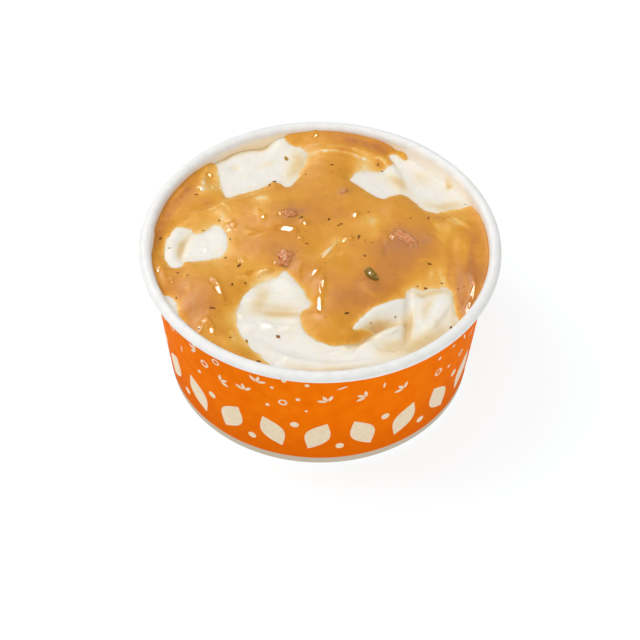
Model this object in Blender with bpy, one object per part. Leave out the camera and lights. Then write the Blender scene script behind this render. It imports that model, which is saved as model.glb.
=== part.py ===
"""A side of mashed potato with gravy, in the squat paper cup that it is served in.

Metres, +Z up. The origin is on the table, under the middle of the cup, and the cup's front faces -Y.
The cup is two pieces of paperboard, as a real one is: a side wall with a rolled rim and a folded foot,
and a recessed base disc whose skirt the foot grips. The mash fills it. The gravy lies over the mash and
leaves five patches of it bare, and four larger bits sit half sunk in the gravy.
"""

import math

import bmesh
import bpy
import numpy as np
from mathutils import Matrix, Vector

MM = 0.001

# The cup's driving sizes.
RIM_DIAMETER = 90 * MM
CUP_HEIGHT = 40 * MM
FOOT_DIAMETER = 75.9 * MM
BOARD = 0.45 * MM
ROLL_RADIUS = 1.5 * MM
BASE_RECESS = 5.5 * MM
FOLD_HEIGHT = 4.8 * MM
BARE_BAND = 2.8 * MM
GAP = 0.3 * MM
CUP_SEGMENTS = 48
ROLL_STEPS = 6
ROLL_SWEEP = math.radians(270)
FOOT_STEPS = 3
LAP_ANGLE = math.radians(174)
LAP_WIDTH = math.radians(9)
LAP_EDGE = math.radians(0.5)
LAP_STEP = 0.4 * MM

# Sizes that follow from them.
ROLL_CENTRE_R = RIM_DIAMETER / 2 - ROLL_RADIUS
ROLL_CENTRE_Z = CUP_HEIGHT - ROLL_RADIUS
WALL_TOP_R = RIM_DIAMETER / 2 - 2 * ROLL_RADIUS + BOARD / 2
FOOT_R = FOOT_DIAMETER / 2 - BOARD / 2
WALL_SLOPE = (WALL_TOP_R - FOOT_R) / ROLL_CENTRE_Z
FOOT_BEND = BOARD + GAP
FOOT_CENTRE_Z = (FOOT_BEND + BOARD / 2) * math.cos(math.pi / FOOT_STEPS / 2)

# The food, in millimetres: heights above the table.
SHEET_CELLS = 30
FILL_LEVEL = 36.1
DOME_RISE = 1.0
GRAVY_DEPTH = 1.9
GRAVY_EDGE = 0.8
GRAVY_EDGE_WIDTH = 1.3
FOOD_GAP = 0.3

# Where the mash stands lower or higher than its dome: x, y, radius, rise.
MASH_SWELLS = {
    "scooped_at_back_right": (31, 30, 11, -3.7),
    "low_behind_the_chunk": (-21, 38.5, 5.5, -1.6),
    "full_at_the_back": (2, 42, 11, 0.7),
    "mound_under_the_gravy": (-9, 9, 9, 0.4),
    "mound_at_the_right": (20, 4, 11, 0.4),
    "hollow_at_the_front_wall": (0, -41, 9, -0.9),
}

# Spoon marks in the bare mash: rise, width left and right of the stroke, and the stroke's route.
SPOON_MARKS = {
    "crest_beside_the_tongue": (1.6, 1.8, 2.4, [(7, -28.5), (9.5, -25), (13.5, -20.6), (19, -17.6), (24, -16)]),
    "groove_under_the_crest": (-1.2, 1.8, 1.8, [(8, -31), (13, -26.8), (17, -23.6), (20.5, -22)]),
    "lip_below_the_groove": (1.0, 1.8, 2.6, [(10, -32), (13, -28.8), (17, -26), (20, -24.8)]),
    "crease_down_the_right": (-1.3, 1.7, 1.9, [(23, -15), (22, -20), (22, -25), (21.4, -29.5)]),
    "lobe_at_the_right": (1.1, 2.4, 2.4, [(30.5, -12.5), (28.5, -19), (26.5, -25), (23.5, -29.4)]),
    "ledge_below_the_peak": (-1.2, 1.8, 2.2, [(-17, -18.6), (-12, -19.4), (-7, -20.6), (-4, -21)]),
    "peak_at_the_front": (1.2, 2.6, 2.6, [(-8.6, -9), (-7.5, -13), (-5, -17)]),
    "swirl_round_the_tongue": (-0.8, 1.8, 2.0, [(-15, -28), (-9, -31), (-2, -33.6), (6, -34.6), (12, -33)]),
    "outer_swirl": (0.8, 2.0, 2.0, [(-13, -33.4), (-6, -36), (3, -37.4), (12, -36)]),
    "edge_of_the_back_chunk": (1.4, 1.6, 2.6, [(-27, 29.6), (-22, 32.4), (-17, 34.6), (-11, 38)]),
    "left_curl": (0.9, 1.9, 1.9, [(-35.5, 7), (-37, 3), (-37, -2), (-35.6, -5)]),
    "crease_beside_the_curl": (-0.9, 1.7, 1.7, [(-31.6, 6), (-33.6, 3), (-34, -2)]),
    "fold_at_the_back_right": (0.9, 1.7, 1.9, [(14, 34.5), (17.5, 32), (19.4, 28), (20, 24)]),
}

# Outlines, seen from above, of the mash that the gravy leaves bare. A point past the wall only closes its loop.
BARE_PATCHES = {
    "back_left": [
        (-10.3, 40.9), (-7.6, 37.6), (-4.9, 33.5), (-5.4, 28), (-8.6, 22.3), (-11.5, 24.2), (-16.5, 21.6),
        (-24, 19), (-28.8, 28), (-33, 36), (-20, 42),
    ],
    "back_right": [
        (7.6, 25.6), (11, 28.4), (15.6, 28.8), (17.4, 33), (22, 36), (28, 41), (43, 24), (40, 16.4), (33, 15.4),
        (28, 14.4), (24, 17), (19.8, 20.4), (15.4, 18.4), (11, 21.2),
    ],
    "left": [(-35.6, 7.6), (-38.2, 1), (-36.4, -5.6), (-30, -4.1), (-24.6, -2), (-23.4, 3), (-26.4, 7.8), (-31, 7)],
    "front": [
        (-8.6, -7.6), (-5.4, -12.4), (-2.4, -18.8), (-4.6, -23), (-1.6, -29), (4.6, -31.5), (10.4, -30.2),
        (8.4, -26), (14, -19.4), (20, -16.5), (26, -13.4), (31, -11.4), (33.5, -20), (36, -30), (22, -46),
        (-8, -50), (-14.6, -40), (-15.5, -32.6), (-20, -24), (-17.8, -15),
    ],
    "lower_left": [(-38.6, -15.5), (-35.4, -17.6), (-34.4, -25), (-42, -31), (-46, -20)],
}

# Where the gravy swells or dips over what lies under it: x, y, radius, rise.
GRAVY_SWELLS = {
    "over_the_mound": (-9, 9, 5.5, 0.5),
    "behind_the_mound": (1, 24, 6.5, 0.4),
    "tongue_head": (3, -24, 4.6, 0.8),
    "tongue_root": (4, -13, 6, 0.5),
    "left_pool": (-27, -15, 5.5, 0.7),
    "right_pool": (26, 2, 6, 0.3),
    "dip_beside_the_crumb": (-2, 0, 4, -0.5),
    "dip_at_the_left": (-20, -4, 4.5, -0.5),
}

# The bits in the gravy: x, y, length, width, depth, turn in degrees, and lumps round the bit.
BITS = {
    "sausage_bit_left": (-8, 12.4, 5.4, 3.6, 2.4, 25, 3),
    "sausage_crumb": (-8.8, -1.4, 5.2, 4.2, 2.5, 70, 5),
    "sausage_bit_right": (21.4, 5, 9.4, 3.6, 2.4, -38, 3),
    "green_pepper_bit": (12.9, -7.4, 5, 2.8, 2.2, -55, 2),
}
BIT_RISE = 0.15
BIT_LUMP = 0.1

# Linear colours, and roughness.
FINISHES = {
    "white_paperboard": ((0.83, 0.82, 0.80), 0.5),
    "orange_print": ((0.83, 0.19, 0.02), 0.42),
    "mashed_potato": ((0.86, 0.76, 0.55), 0.55),
    "gravy": ((0.62, 0.27, 0.06), 0.18),
    "sausage": ((0.36, 0.13, 0.06), 0.35),
    "green_pepper": ((0.16, 0.22, 0.03), 0.3),
}


def finish(name):
    """The material of that name, made the first time that it is asked for."""
    known = bpy.data.materials.get(name)
    if known:
        return known
    colour, roughness = FINISHES[name]
    made = bpy.data.materials.new(name)
    made.use_nodes = True
    shader = made.node_tree.nodes["Principled BSDF"]
    shader.inputs["Base Color"].default_value = (*colour, 1)
    shader.inputs["Roughness"].default_value = roughness
    shader.inputs["Metallic"].default_value = 0
    return made


def new_object(name, bm, *finishes):
    """Turns a bmesh into a named object, smooth where its faces meet at under 35 degrees."""
    bmesh.ops.recalc_face_normals(bm, faces=bm.faces)
    mesh = bpy.data.meshes.new(name)
    bm.to_mesh(mesh)
    bm.free()
    mesh.shade_smooth()
    mesh.set_sharp_from_angle(angle=math.radians(35))
    obj = bpy.data.objects.new(name, mesh)
    bpy.context.scene.collection.objects.link(obj)
    for each in finishes:
        mesh.materials.append(finish(each))
    return obj


# The cup.


def wall_radius(z):
    """Radius of the middle of the side wall's board."""
    return FOOT_R + WALL_SLOPE * z


def moved_sideways(route, distance):
    """The route in the X-Z plane moved to its left, or to its right if distance is below 0."""
    moved = []
    for i, point in enumerate(route):
        ahead = route[min(i + 1, len(route) - 1)] - route[max(i - 1, 0)]
        moved.append(point + Vector((-ahead.y, ahead.x)).normalized() * distance)
    return moved


def spin_full_turn(bm):
    """Turns the bmesh's profile once round Z."""
    bmesh.ops.spin(
        bm, geom=bm.verts[:] + bm.edges[:], axis=(0, 0, 1), cent=(0, 0, 0), angle=2 * math.pi,
        steps=CUP_SEGMENTS, use_merge=True,
    )


def profile(points, closed):
    """A new bmesh that holds the points, joined in turn, in the X-Z plane."""
    bm = bmesh.new()
    verts = [bm.verts.new((p.x, 0, p.y)) for p in points]
    for first, second in zip(verts, verts[1:] + verts[:1] if closed else verts[1:]):
        bm.edges.new((first, second))
    return bm


def side_wall_route():
    """Middle of the board: from its end inside the foot, round the foot, up the wall and round the roll."""
    fold_end = Vector((wall_radius(FOLD_HEIGHT) - 2 * FOOT_BEND, FOLD_HEIGHT))
    foot_r = wall_radius(FOOT_CENTRE_Z) - FOOT_BEND
    foot = [arc_point(foot_r, FOOT_CENTRE_Z, FOOT_BEND, math.pi * (1 + i / FOOT_STEPS)) for i in range(FOOT_STEPS + 1)]
    band_top = Vector((wall_radius(BARE_BAND), BARE_BAND))
    reach = ROLL_RADIUS - BOARD / 2
    roll = [
        arc_point(ROLL_CENTRE_R, ROLL_CENTRE_Z, reach, math.pi - ROLL_SWEEP * i / ROLL_STEPS)
        for i in range(ROLL_STEPS + 1)
    ]
    return [fold_end, *foot, band_top, *roll]


def arc_point(x, z, radius, turn):
    return Vector((x + radius * math.cos(turn), z + radius * math.sin(turn)))


def on_outside(vert):
    """Whether the point lies on the wall's outer face, between the foot and the roll."""
    height = vert.co.z
    return vert.co.xy.length > wall_radius(height) and FOOT_CENTRE_Z < height < ROLL_CENTRE_Z - ROLL_RADIUS / 2


def add_lap_seam(bm):
    """Where the wall's blank closes, one end lies over the other: its edge stands out down the wall."""
    for turn in (LAP_ANGLE - LAP_EDGE, LAP_ANGLE):
        side = Vector((math.cos(turn), math.sin(turn), 0))
        faces = [f for f in bm.faces if f.calc_center_median().dot(side) > 0]
        edges = list({e for f in faces for e in f.edges})
        verts = list({v for f in faces for v in f.verts})
        across = Vector((-side.y, side.x, 0))
        bmesh.ops.bisect_plane(bm, geom=faces + edges + verts, plane_co=(0, 0, 0), plane_no=across)
    for vert in bm.verts:
        past_edge = (math.atan2(vert.co.y, vert.co.x) - LAP_ANGLE) % (2 * math.pi)
        on_lap = past_edge < LAP_WIDTH or past_edge > 2 * math.pi - LAP_EDGE / 2
        if on_lap and on_outside(vert):
            vert.co.xy *= 1 + LAP_STEP / vert.co.xy.length


def build_cup_wall():
    route = side_wall_route()
    outside, inside = moved_sideways(route, BOARD / 2), moved_sideways(route, -BOARD / 2)
    bm = profile(outside + inside[::-1], closed=True)
    spin_full_turn(bm)
    add_lap_seam(bm)
    obj = new_object("cup_wall", bm, "white_paperboard", "orange_print")
    for face in obj.data.polygons:
        outward = face.normal.xy.dot(face.center.xy) > 0
        printed = wall_radius(face.center.z) < face.center.xy.length < wall_radius(face.center.z) + 2 * BOARD
        face.material_index = int(outward and printed and BARE_BAND < face.center.z < ROLL_CENTRE_Z)


def build_cup_base():
    """The recessed disc, with the skirt that the folded foot holds against the wall."""
    top = BASE_RECESS + BOARD / 2
    corner = 2 * BOARD
    skirt_end = FOOT_CENTRE_Z + BOARD / 2 + GAP
    route = [
        Vector((wall_radius(skirt_end) - FOOT_BEND, skirt_end)),
        Vector((wall_radius(top) - FOOT_BEND, top - corner)),
        Vector((wall_radius(top) - FOOT_BEND - corner / 4, top - corner / 4)),
        Vector((wall_radius(top) - FOOT_BEND - corner, top)),
    ]
    under, over = moved_sideways(route, BOARD / 2), moved_sideways(route, -BOARD / 2)
    bm = profile(over[::-1] + under, closed=False)
    spin_full_turn(bm)
    bmesh.ops.holes_fill(bm, edges=[e for e in bm.edges if e.is_boundary], sides=0)
    new_object("cup_base", bm, "white_paperboard")


# The food, worked out in millimetres.


def food_radius(height):
    """Radius at which the food ends beside the wall, at a height."""
    return wall_radius(height * MM) / MM - BOARD / MM / 2 - FOOD_GAP


def smooth_loop(points, steps=6):
    """A smooth closed loop through the points (a Catmull-Rom curve)."""
    here = np.array(points, float)
    before, after, beyond = np.roll(here, 1, 0), np.roll(here, -1, 0), np.roll(here, -2, 0)
    slope = (after - before) / 2
    next_slope = (beyond - here) / 2
    stretches = []
    for t in np.arange(steps) / steps:
        lead = 2 * t**3 - 3 * t**2
        stretch = here * (1 + lead) - after * lead
        stretch = stretch + slope * (t**3 - 2 * t**2 + t) + next_slope * (t**3 - t**2)
        stretches.append(stretch)
    return np.stack(stretches, 1).reshape(-1, 2)


def nearest_on(route, places):
    """For each place: its distance from the route, how far along it that is (0 to 1), and on which side."""
    starts, along = route[:-1], route[1:] - route[:-1]
    lengths = np.hypot(along[:, 0], along[:, 1])
    offset = places[:, None] - starts
    share = np.clip((offset * along).sum(2) / lengths**2, 0, 1)
    apart = offset - share[..., None] * along
    gap = np.hypot(apart[..., 0], apart[..., 1])
    rows, best = np.arange(len(places)), gap.argmin(1)
    travelled = np.concatenate([[0], np.cumsum(lengths)])
    progress = (travelled[best] + share[rows, best] * lengths[best]) / travelled[-1]
    leftward = along[best, 0] * offset[rows, best, 1] - along[best, 1] * offset[rows, best, 0]
    return gap[rows, best], progress, np.sign(leftward)


def inside_loop(loop, places):
    """Whether each place is inside the loop, by counting the edges to its right."""
    ends = np.roll(loop, -1, 0)
    x, y = places[:, :1], places[:, 1:]
    spans = (loop[:, 1] > y) != (ends[:, 1] > y)
    rise = np.where(ends[:, 1] == loop[:, 1], 1, ends[:, 1] - loop[:, 1])
    crossing = loop[:, 0] + (y - loop[:, 1]) * (ends[:, 0] - loop[:, 0]) / rise
    return (spans & (x < crossing)).sum(1) % 2 == 1


def distance_from_bare(places):
    """Distance from the nearest bare patch: above 0 where gravy lies, below 0 on bare mash."""
    nearest = np.full(len(places), np.inf)
    for points in BARE_PATCHES.values():
        loop = smooth_loop(points)
        gap = nearest_on(np.vstack([loop, loop[:1]]), places)[0]
        nearest = np.minimum(nearest, np.where(inside_loop(loop, places), -gap, gap))
    return nearest


def swell(places, x, y, radius, rise):
    return rise * np.exp(-((places - (x, y)) ** 2).sum(1) / radius**2)


def spoon_mark(places, rise, left, right, route):
    """A ridge, or a groove if rise is below 0, that fades at both ends of its route."""
    gap, progress, side = nearest_on(np.array(route, float), places)
    width = np.where(side > 0, left, right)
    return rise * np.exp(-((gap / width) ** 2)) * np.sin(math.pi * (0.12 + 0.76 * progress))


def mash_height(places):
    height = FILL_LEVEL + DOME_RISE * (1 - (places**2).sum(1) / food_radius(FILL_LEVEL) ** 2)
    for place in MASH_SWELLS.values():
        height = height + swell(places, *place)
    for mark in SPOON_MARKS.values():
        height = height + spoon_mark(places, *mark)
    return height


def gravy_depth(places):
    """Depth of the gravy, which rounds down to a low edge beside each bare patch."""
    depth = np.full(len(places), GRAVY_DEPTH)
    for place in GRAVY_SWELLS.values():
        depth = depth + swell(places, *place)
    beside = np.clip(distance_from_bare(places), 0, None) / GRAVY_EDGE_WIDTH
    return GRAVY_EDGE + (depth - GRAVY_EDGE) * (1 - np.exp(-beside))


def places_of(verts):
    return np.array([(v.co.x, v.co.y) for v in verts])


def flat_food_sheet():
    """A round sheet of triangles, with edges along the patches' outlines. The mash and the gravy share it."""
    bm = bmesh.new()
    bmesh.ops.create_grid(bm, x_segments=SHEET_CELLS, y_segments=SHEET_CELLS, size=1)
    radius = food_radius(FILL_LEVEL)
    cell = 2 * radius / SHEET_CELLS
    for vert in bm.verts:
        x, y = vert.co.x, vert.co.y
        vert.co = Vector((x * math.sqrt(1 - y * y / 2), y * math.sqrt(1 - x * x / 2), 0)) * radius
    inner = [v for v in bm.verts if not v.is_boundary]
    for _ in range(4):
        bmesh.ops.smooth_vert(bm, verts=inner, factor=0.5, use_axis_x=True, use_axis_y=True)
    bmesh.ops.triangulate(bm, faces=bm.faces)
    move_onto_outlines(inner, reach=0.3 * cell)
    split_at_outlines(bm, cell)
    return bm


def split_at_outlines(bm, cell):
    """Splits each edge that crosses an outline, so that no triangle lies on both sides of one."""
    bm.verts.index_update()
    distance = distance_from_bare(places_of(bm.verts))
    ends = [(e, distance[e.verts[0].index], distance[e.verts[1].index]) for e in bm.edges]
    near = 0.02 * cell
    crossing = [e for e, first, second in ends if first * second < 0 and min(abs(first), abs(second)) > near]
    made = bmesh.ops.subdivide_edges(bm, edges=crossing, cuts=1)
    split = [g for g in made["geom_inner"] if isinstance(g, bmesh.types.BMVert)]
    move_onto_outlines([v for v in split if not v.is_boundary], reach=cell)
    bmesh.ops.triangulate(bm, faces=[f for f in bm.faces if len(f.verts) > 3])


def move_onto_outlines(verts, reach):
    """Moves the points within reach of a patch's outline onto it, down the slope of the distance."""
    step = 0.05
    for _ in range(3):
        places = places_of(verts)
        distance = distance_from_bare(places)
        slope_x = (distance_from_bare(places + (step, 0)) - distance) / step
        slope_y = (distance_from_bare(places + (0, step)) - distance) / step
        share = np.where(np.abs(distance) < reach, distance, 0) / np.maximum(slope_x**2 + slope_y**2, 0.3)
        for vert, along_x, along_y in zip(verts, share * slope_x, share * slope_y):
            vert.co.x -= along_x
            vert.co.y -= along_y


def set_height(vert, height, at_wall):
    """Lifts a point of the sheet, and holds it to the tapered wall if it is at the wall."""
    if at_wall:
        vert.co.xy *= food_radius(height) / vert.co.xy.length
    vert.co.z = height


def to_metres(bm):
    bmesh.ops.scale(bm, vec=(MM, MM, MM), verts=bm.verts)


def build_mash():
    bm = flat_food_sheet()
    for vert, height in zip(bm.verts, mash_height(places_of(bm.verts))):
        set_height(vert, height, vert.is_boundary)
    made = bmesh.ops.extrude_edge_only(bm, edges=[e for e in bm.edges if e.is_boundary])
    floor = (BASE_RECESS + BOARD) / MM + FOOD_GAP
    for vert in (g for g in made["geom"] if isinstance(g, bmesh.types.BMVert)):
        set_height(vert, floor, at_wall=True)
    bmesh.ops.holes_fill(bm, edges=[e for e in bm.edges if e.is_boundary], sides=0)
    to_metres(bm)
    new_object("mash", bm, "mashed_potato")


def cut_out_bare_patches(bm):
    """Deletes the faces over bare mash, every face at a point where two holes meet, and any loose pool."""
    middles = np.array([tuple(f.calc_center_median().xy) for f in bm.faces])
    bare = [f for f, distance in zip(bm.faces, distance_from_bare(middles)) if distance < 0]
    bmesh.ops.delete(bm, geom=bare, context="FACES")
    while pinched := [v for v in bm.verts if sum(e.is_boundary for e in v.link_edges) > 2]:
        bmesh.ops.delete(bm, geom=list({f for v in pinched for f in v.link_faces}), context="FACES")
    pools = sorted(connected_pools(bm), key=len)
    bmesh.ops.delete(bm, geom=[f for pool in pools[:-1] for f in pool], context="FACES")


def connected_pools(bm):
    left, pools = set(bm.faces), []
    while left:
        pool, front = [], [left.pop()]
        while front:
            face = front.pop()
            pool.append(face)
            near = {f for e in face.edges for f in e.link_faces} & left
            left -= near
            front.extend(near)
        pools.append(pool)
    return pools


def build_gravy(bit_shapes):
    """The sheet over the gravy's area, just above the mash, thickened upwards and hollowed for the bits."""
    bm = flat_food_sheet()
    places = places_of(bm.verts)
    at_wall = [v.is_boundary for v in bm.verts]
    under = mash_height(places) + FOOD_GAP
    over = under + gravy_depth(places)
    number = bm.verts.layers.int.new("number")
    for i, vert in enumerate(bm.verts):
        vert[number] = i
    cut_out_bare_patches(bm)
    top = bmesh.ops.extrude_face_region(bm, geom=bm.faces[:], use_keep_orig=True)
    raised = {g for g in top["geom"] if isinstance(g, bmesh.types.BMVert)}
    for vert in bm.verts:
        i = vert[number]
        set_height(vert, over[i] if vert in raised else under[i], at_wall[i])
    to_metres(bm)
    gravy = new_object("gravy", bm, "gravy")
    for shape in bit_shapes:
        cut = gravy.modifiers.new("room_for_" + shape.name, "BOOLEAN")
        cut.operation = "DIFFERENCE"
        cut.solver = "EXACT"
        cut.object = shape


def bit_shape(length, width, depth, lumps, swollen):
    """An uneven lump, lying along X, at its size or swollen by a distance all round."""
    bm = bmesh.new()
    bmesh.ops.create_icosphere(bm, subdivisions=2, radius=1)
    half = Vector((length / 2, width / 2, depth / 2))
    for vert in bm.verts:
        out = vert.co.normalized()
        lump = 1 + BIT_LUMP * math.sin(lumps * math.atan2(out.y, out.x) + 2 * out.z)
        vert.co = Vector([out[i] * (half[i] * lump + swollen) for i in range(3)])
    return bm


def build_bit(name, x, y, length, width, depth, turn, lumps):
    """The bit, and a hidden swollen copy of it that makes its room in the gravy."""
    place = np.array([(x, y)], float)
    surface = float((mash_height(place) + FOOD_GAP + gravy_depth(place))[0])
    placed = Matrix.Translation((x, y, surface + BIT_RISE)) @ Matrix.Rotation(math.radians(turn), 4, "Z")
    colour = "green_pepper" if name.startswith("green") else "sausage"
    made = []
    for label, swollen in ((name, 0), (name + "_room", FOOD_GAP)):
        bm = bit_shape(length, width, depth, lumps, swollen)
        bmesh.ops.transform(bm, matrix=placed, verts=bm.verts)
        to_metres(bm)
        made.append(new_object(label, bm, colour))
    room = made[1]
    room.hide_render = True
    room.display_type = "WIRE"
    return room


def main():
    for obj in list(bpy.data.objects):
        bpy.data.objects.remove(obj)
    build_cup_wall()
    build_cup_base()
    build_mash()
    build_gravy([build_bit(name, *sizes) for name, sizes in BITS.items()])


main()
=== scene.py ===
import math
import random

import bmesh
import bpy
import numpy as np
from mathutils import Matrix, Vector, noise


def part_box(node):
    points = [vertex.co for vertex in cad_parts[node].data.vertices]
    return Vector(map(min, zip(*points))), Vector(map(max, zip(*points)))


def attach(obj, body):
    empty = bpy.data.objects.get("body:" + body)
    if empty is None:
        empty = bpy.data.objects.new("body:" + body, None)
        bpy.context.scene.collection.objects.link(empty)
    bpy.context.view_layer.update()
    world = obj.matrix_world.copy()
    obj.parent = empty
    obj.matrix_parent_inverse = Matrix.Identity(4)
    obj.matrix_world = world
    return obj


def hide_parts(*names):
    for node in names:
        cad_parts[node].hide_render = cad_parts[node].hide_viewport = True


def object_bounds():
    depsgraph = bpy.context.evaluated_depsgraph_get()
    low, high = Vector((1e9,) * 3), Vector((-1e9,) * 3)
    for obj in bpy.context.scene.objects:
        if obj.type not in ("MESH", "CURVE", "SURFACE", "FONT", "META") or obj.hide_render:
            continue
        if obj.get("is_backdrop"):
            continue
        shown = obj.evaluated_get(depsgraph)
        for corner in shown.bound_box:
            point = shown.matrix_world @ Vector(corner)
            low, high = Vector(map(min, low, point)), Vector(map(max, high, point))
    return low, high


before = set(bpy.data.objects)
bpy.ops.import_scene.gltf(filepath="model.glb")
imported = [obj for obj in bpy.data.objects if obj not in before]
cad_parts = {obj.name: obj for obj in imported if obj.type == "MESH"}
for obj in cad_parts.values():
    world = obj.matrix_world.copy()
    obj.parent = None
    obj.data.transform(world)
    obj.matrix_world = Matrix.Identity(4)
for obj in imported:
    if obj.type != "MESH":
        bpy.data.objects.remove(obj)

cad_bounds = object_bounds()

# ---------------------------------------------------------------------------------------------------------
# The cup's side wall. One blank of coated white paperboard, printed orange, is wrapped into a cone and
# lapped along a seam at the left. Its top is curled into a roll and its foot is folded up inside.

MM = 0.001
BOARD = 0.45
RIM_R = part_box("cup_wall")[1].x / MM
CUP_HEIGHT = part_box("cup_wall")[1].z / MM
ROLL_R = 1.5
FOOT_R = 37.95 - BOARD / 2
ROLL_CENTRE = (RIM_R - ROLL_R, CUP_HEIGHT - ROLL_R)
WALL_SLOPE = (RIM_R - 2 * ROLL_R + BOARD / 2 - FOOT_R) / ROLL_CENTRE[1]
FOOT_BEND = 0.75
FOLD_HEIGHT = 4.8
BARE_BAND = 2.75
PRINT_TOP = 37.2
LAP_ANGLE = math.radians(174)
LAP_WIDTH = math.radians(9)
LAP_STEP = 0.28
WALL_STEPS = 288
WALL_HEIGHTS = 12
BOARD_SHADED = "#CFC2AE"

# centre, radius, strength, colour: where gravy and mash have smeared the inside of the wall; the peach bands at the
# back left are gravy film and also painted warm light bounced off the gravy, and the near-white ones at the back right
# are painted light on the shaded wall
WALL_SMEARS_AND_PAINTED_LIGHT = [
    ((-28, 31.6, 31.4), 5.2, 0.7, "#FFEAC2"),
    ((-24.5, 34.6, 31.8), 6, 0.9, "#FFEAC2"),
    ((-20, 37.3, 32), 6, 0.9, "#FFEAC2"),
    ((-15.5, 39.4, 32.2), 6, 0.9, "#FFEAC2"),
    ((-11, 40.9, 32.4), 6, 0.9, "#FFEAC2"),
    # Painted light: these near-white patches brighten the shaded inner wall at the back right.
    ((19, 37.8, 34), 4.4, 0.9, "#FFF0D6"),
    ((25, 33.9, 34), 5.4, 0.9, "#FFFAF2"),
    ((30.5, 29.2, 34), 5.4, 0.9, "#FFFAF2"),
    ((35, 23.6, 34), 5.4, 0.9, "#FFFAF2"),
    ((33.1, 26.2, 36.2), 1.2, 0.9, "#FBE0A4"),
    ((33, 26.3, 35), 1.4, 0.9, "#FBE0A4"),
]


def linear(colour):
    """An sRGB hex colour as linear red, green, blue and alpha."""
    shares = [int(colour[i : i + 2], 16) / 255 for i in (1, 3, 5)]
    return (*[s / 12.92 if s <= 0.04045 else ((s + 0.055) / 1.055) ** 2.4 for s in shares], 1)


def add_node(tree, kind, settings=None, **inputs):
    """Adds a node with its settings, and sets or links its sockets. An input named _2 is the third socket."""
    node = tree.nodes.new("ShaderNode" + kind)
    for name, value in (settings or {}).items():
        if name == "stops":
            ramp = node.color_ramp.elements
            while len(ramp) < len(value):
                ramp.new(1)
            for stop, (place, colour) in zip(ramp, value):
                stop.position = place
                stop.color = linear(colour) if isinstance(colour, str) else (colour, colour, colour, 1)
        else:
            setattr(node, name, value)
    for name, value in inputs.items():
        socket = node.inputs[int(name[1:]) if name[1:].isdigit() else name.replace("_", " ")]
        if isinstance(value, bpy.types.NodeSocket):
            tree.links.new(value, socket)
        else:
            socket.default_value = value
    return node


def new_material(name):
    """An empty node material: its tree, and its shader already linked to the output."""
    made = bpy.data.materials.new(name)
    made.use_nodes = True
    tree = made.node_tree
    return made, tree, tree.nodes["Principled BSDF"]


def wall_radius(z):
    """Radius of the middle of the side wall's board."""
    return FOOT_R + WALL_SLOPE * z


def arc(centre, radius, start, sweep, steps, shrink=0.0):
    """Points round a centre, from one angle through a sweep, that close in by shrink towards the end."""
    turns = [(start + sweep * i / steps, radius - shrink * max(0, 2 * i / steps - 1)) for i in range(steps + 1)]
    return [Vector((centre[0] + r * math.cos(t), centre[1] + r * math.sin(t))) for t, r in turns]


def sheet_outline(route, half):
    """The closed outline of a sheet of board along a route."""
    sides = []
    for i, point in enumerate(route):
        ahead = route[min(i + 1, len(route) - 1)] - route[max(i - 1, 0)]
        sides.append(Vector((-ahead.y, ahead.x)).normalized() * half)
    return [p + s for p, s in zip(route, sides)] + [p - s for p, s in zip(route[::-1], sides[::-1])]


def spin_profile(points, steps, closed=True):
    """A bmesh that holds the profile, in the X-Z plane, turned once round Z."""
    bm = bmesh.new()
    verts = [bm.verts.new((p.x, 0, p.y)) for p in points]
    edges = [bm.edges.new(pair) for pair in zip(verts, verts[1:])]
    if closed:
        edges.append(bm.edges.new((verts[-1], verts[0])))
    bmesh.ops.spin(
        bm, geom=verts + edges, axis=(0, 0, 1), cent=(0, 0, 0), angle=2 * math.pi, steps=steps, use_merge=True
    )
    return bm


def finish_piece(name, bm, slot, nodes=(), materials=(), sharp=40):
    """Turns a bmesh in millimetres into a smooth piece in metres that rides on the part's only body."""
    bmesh.ops.scale(bm, vec=(MM, MM, MM), verts=bm.verts)
    bmesh.ops.recalc_face_normals(bm, faces=bm.faces)
    mesh = bpy.data.meshes.new(name)
    bm.to_mesh(mesh)
    bm.free()
    mesh.shade_smooth()
    mesh.set_sharp_from_angle(angle=math.radians(sharp))
    for each in materials:
        mesh.materials.append(each)
    piece = bpy.data.objects.new(name, mesh)
    bpy.context.scene.collection.objects.link(piece)
    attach(piece, "root")
    if nodes:
        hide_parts(*nodes)
    return piece


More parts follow.
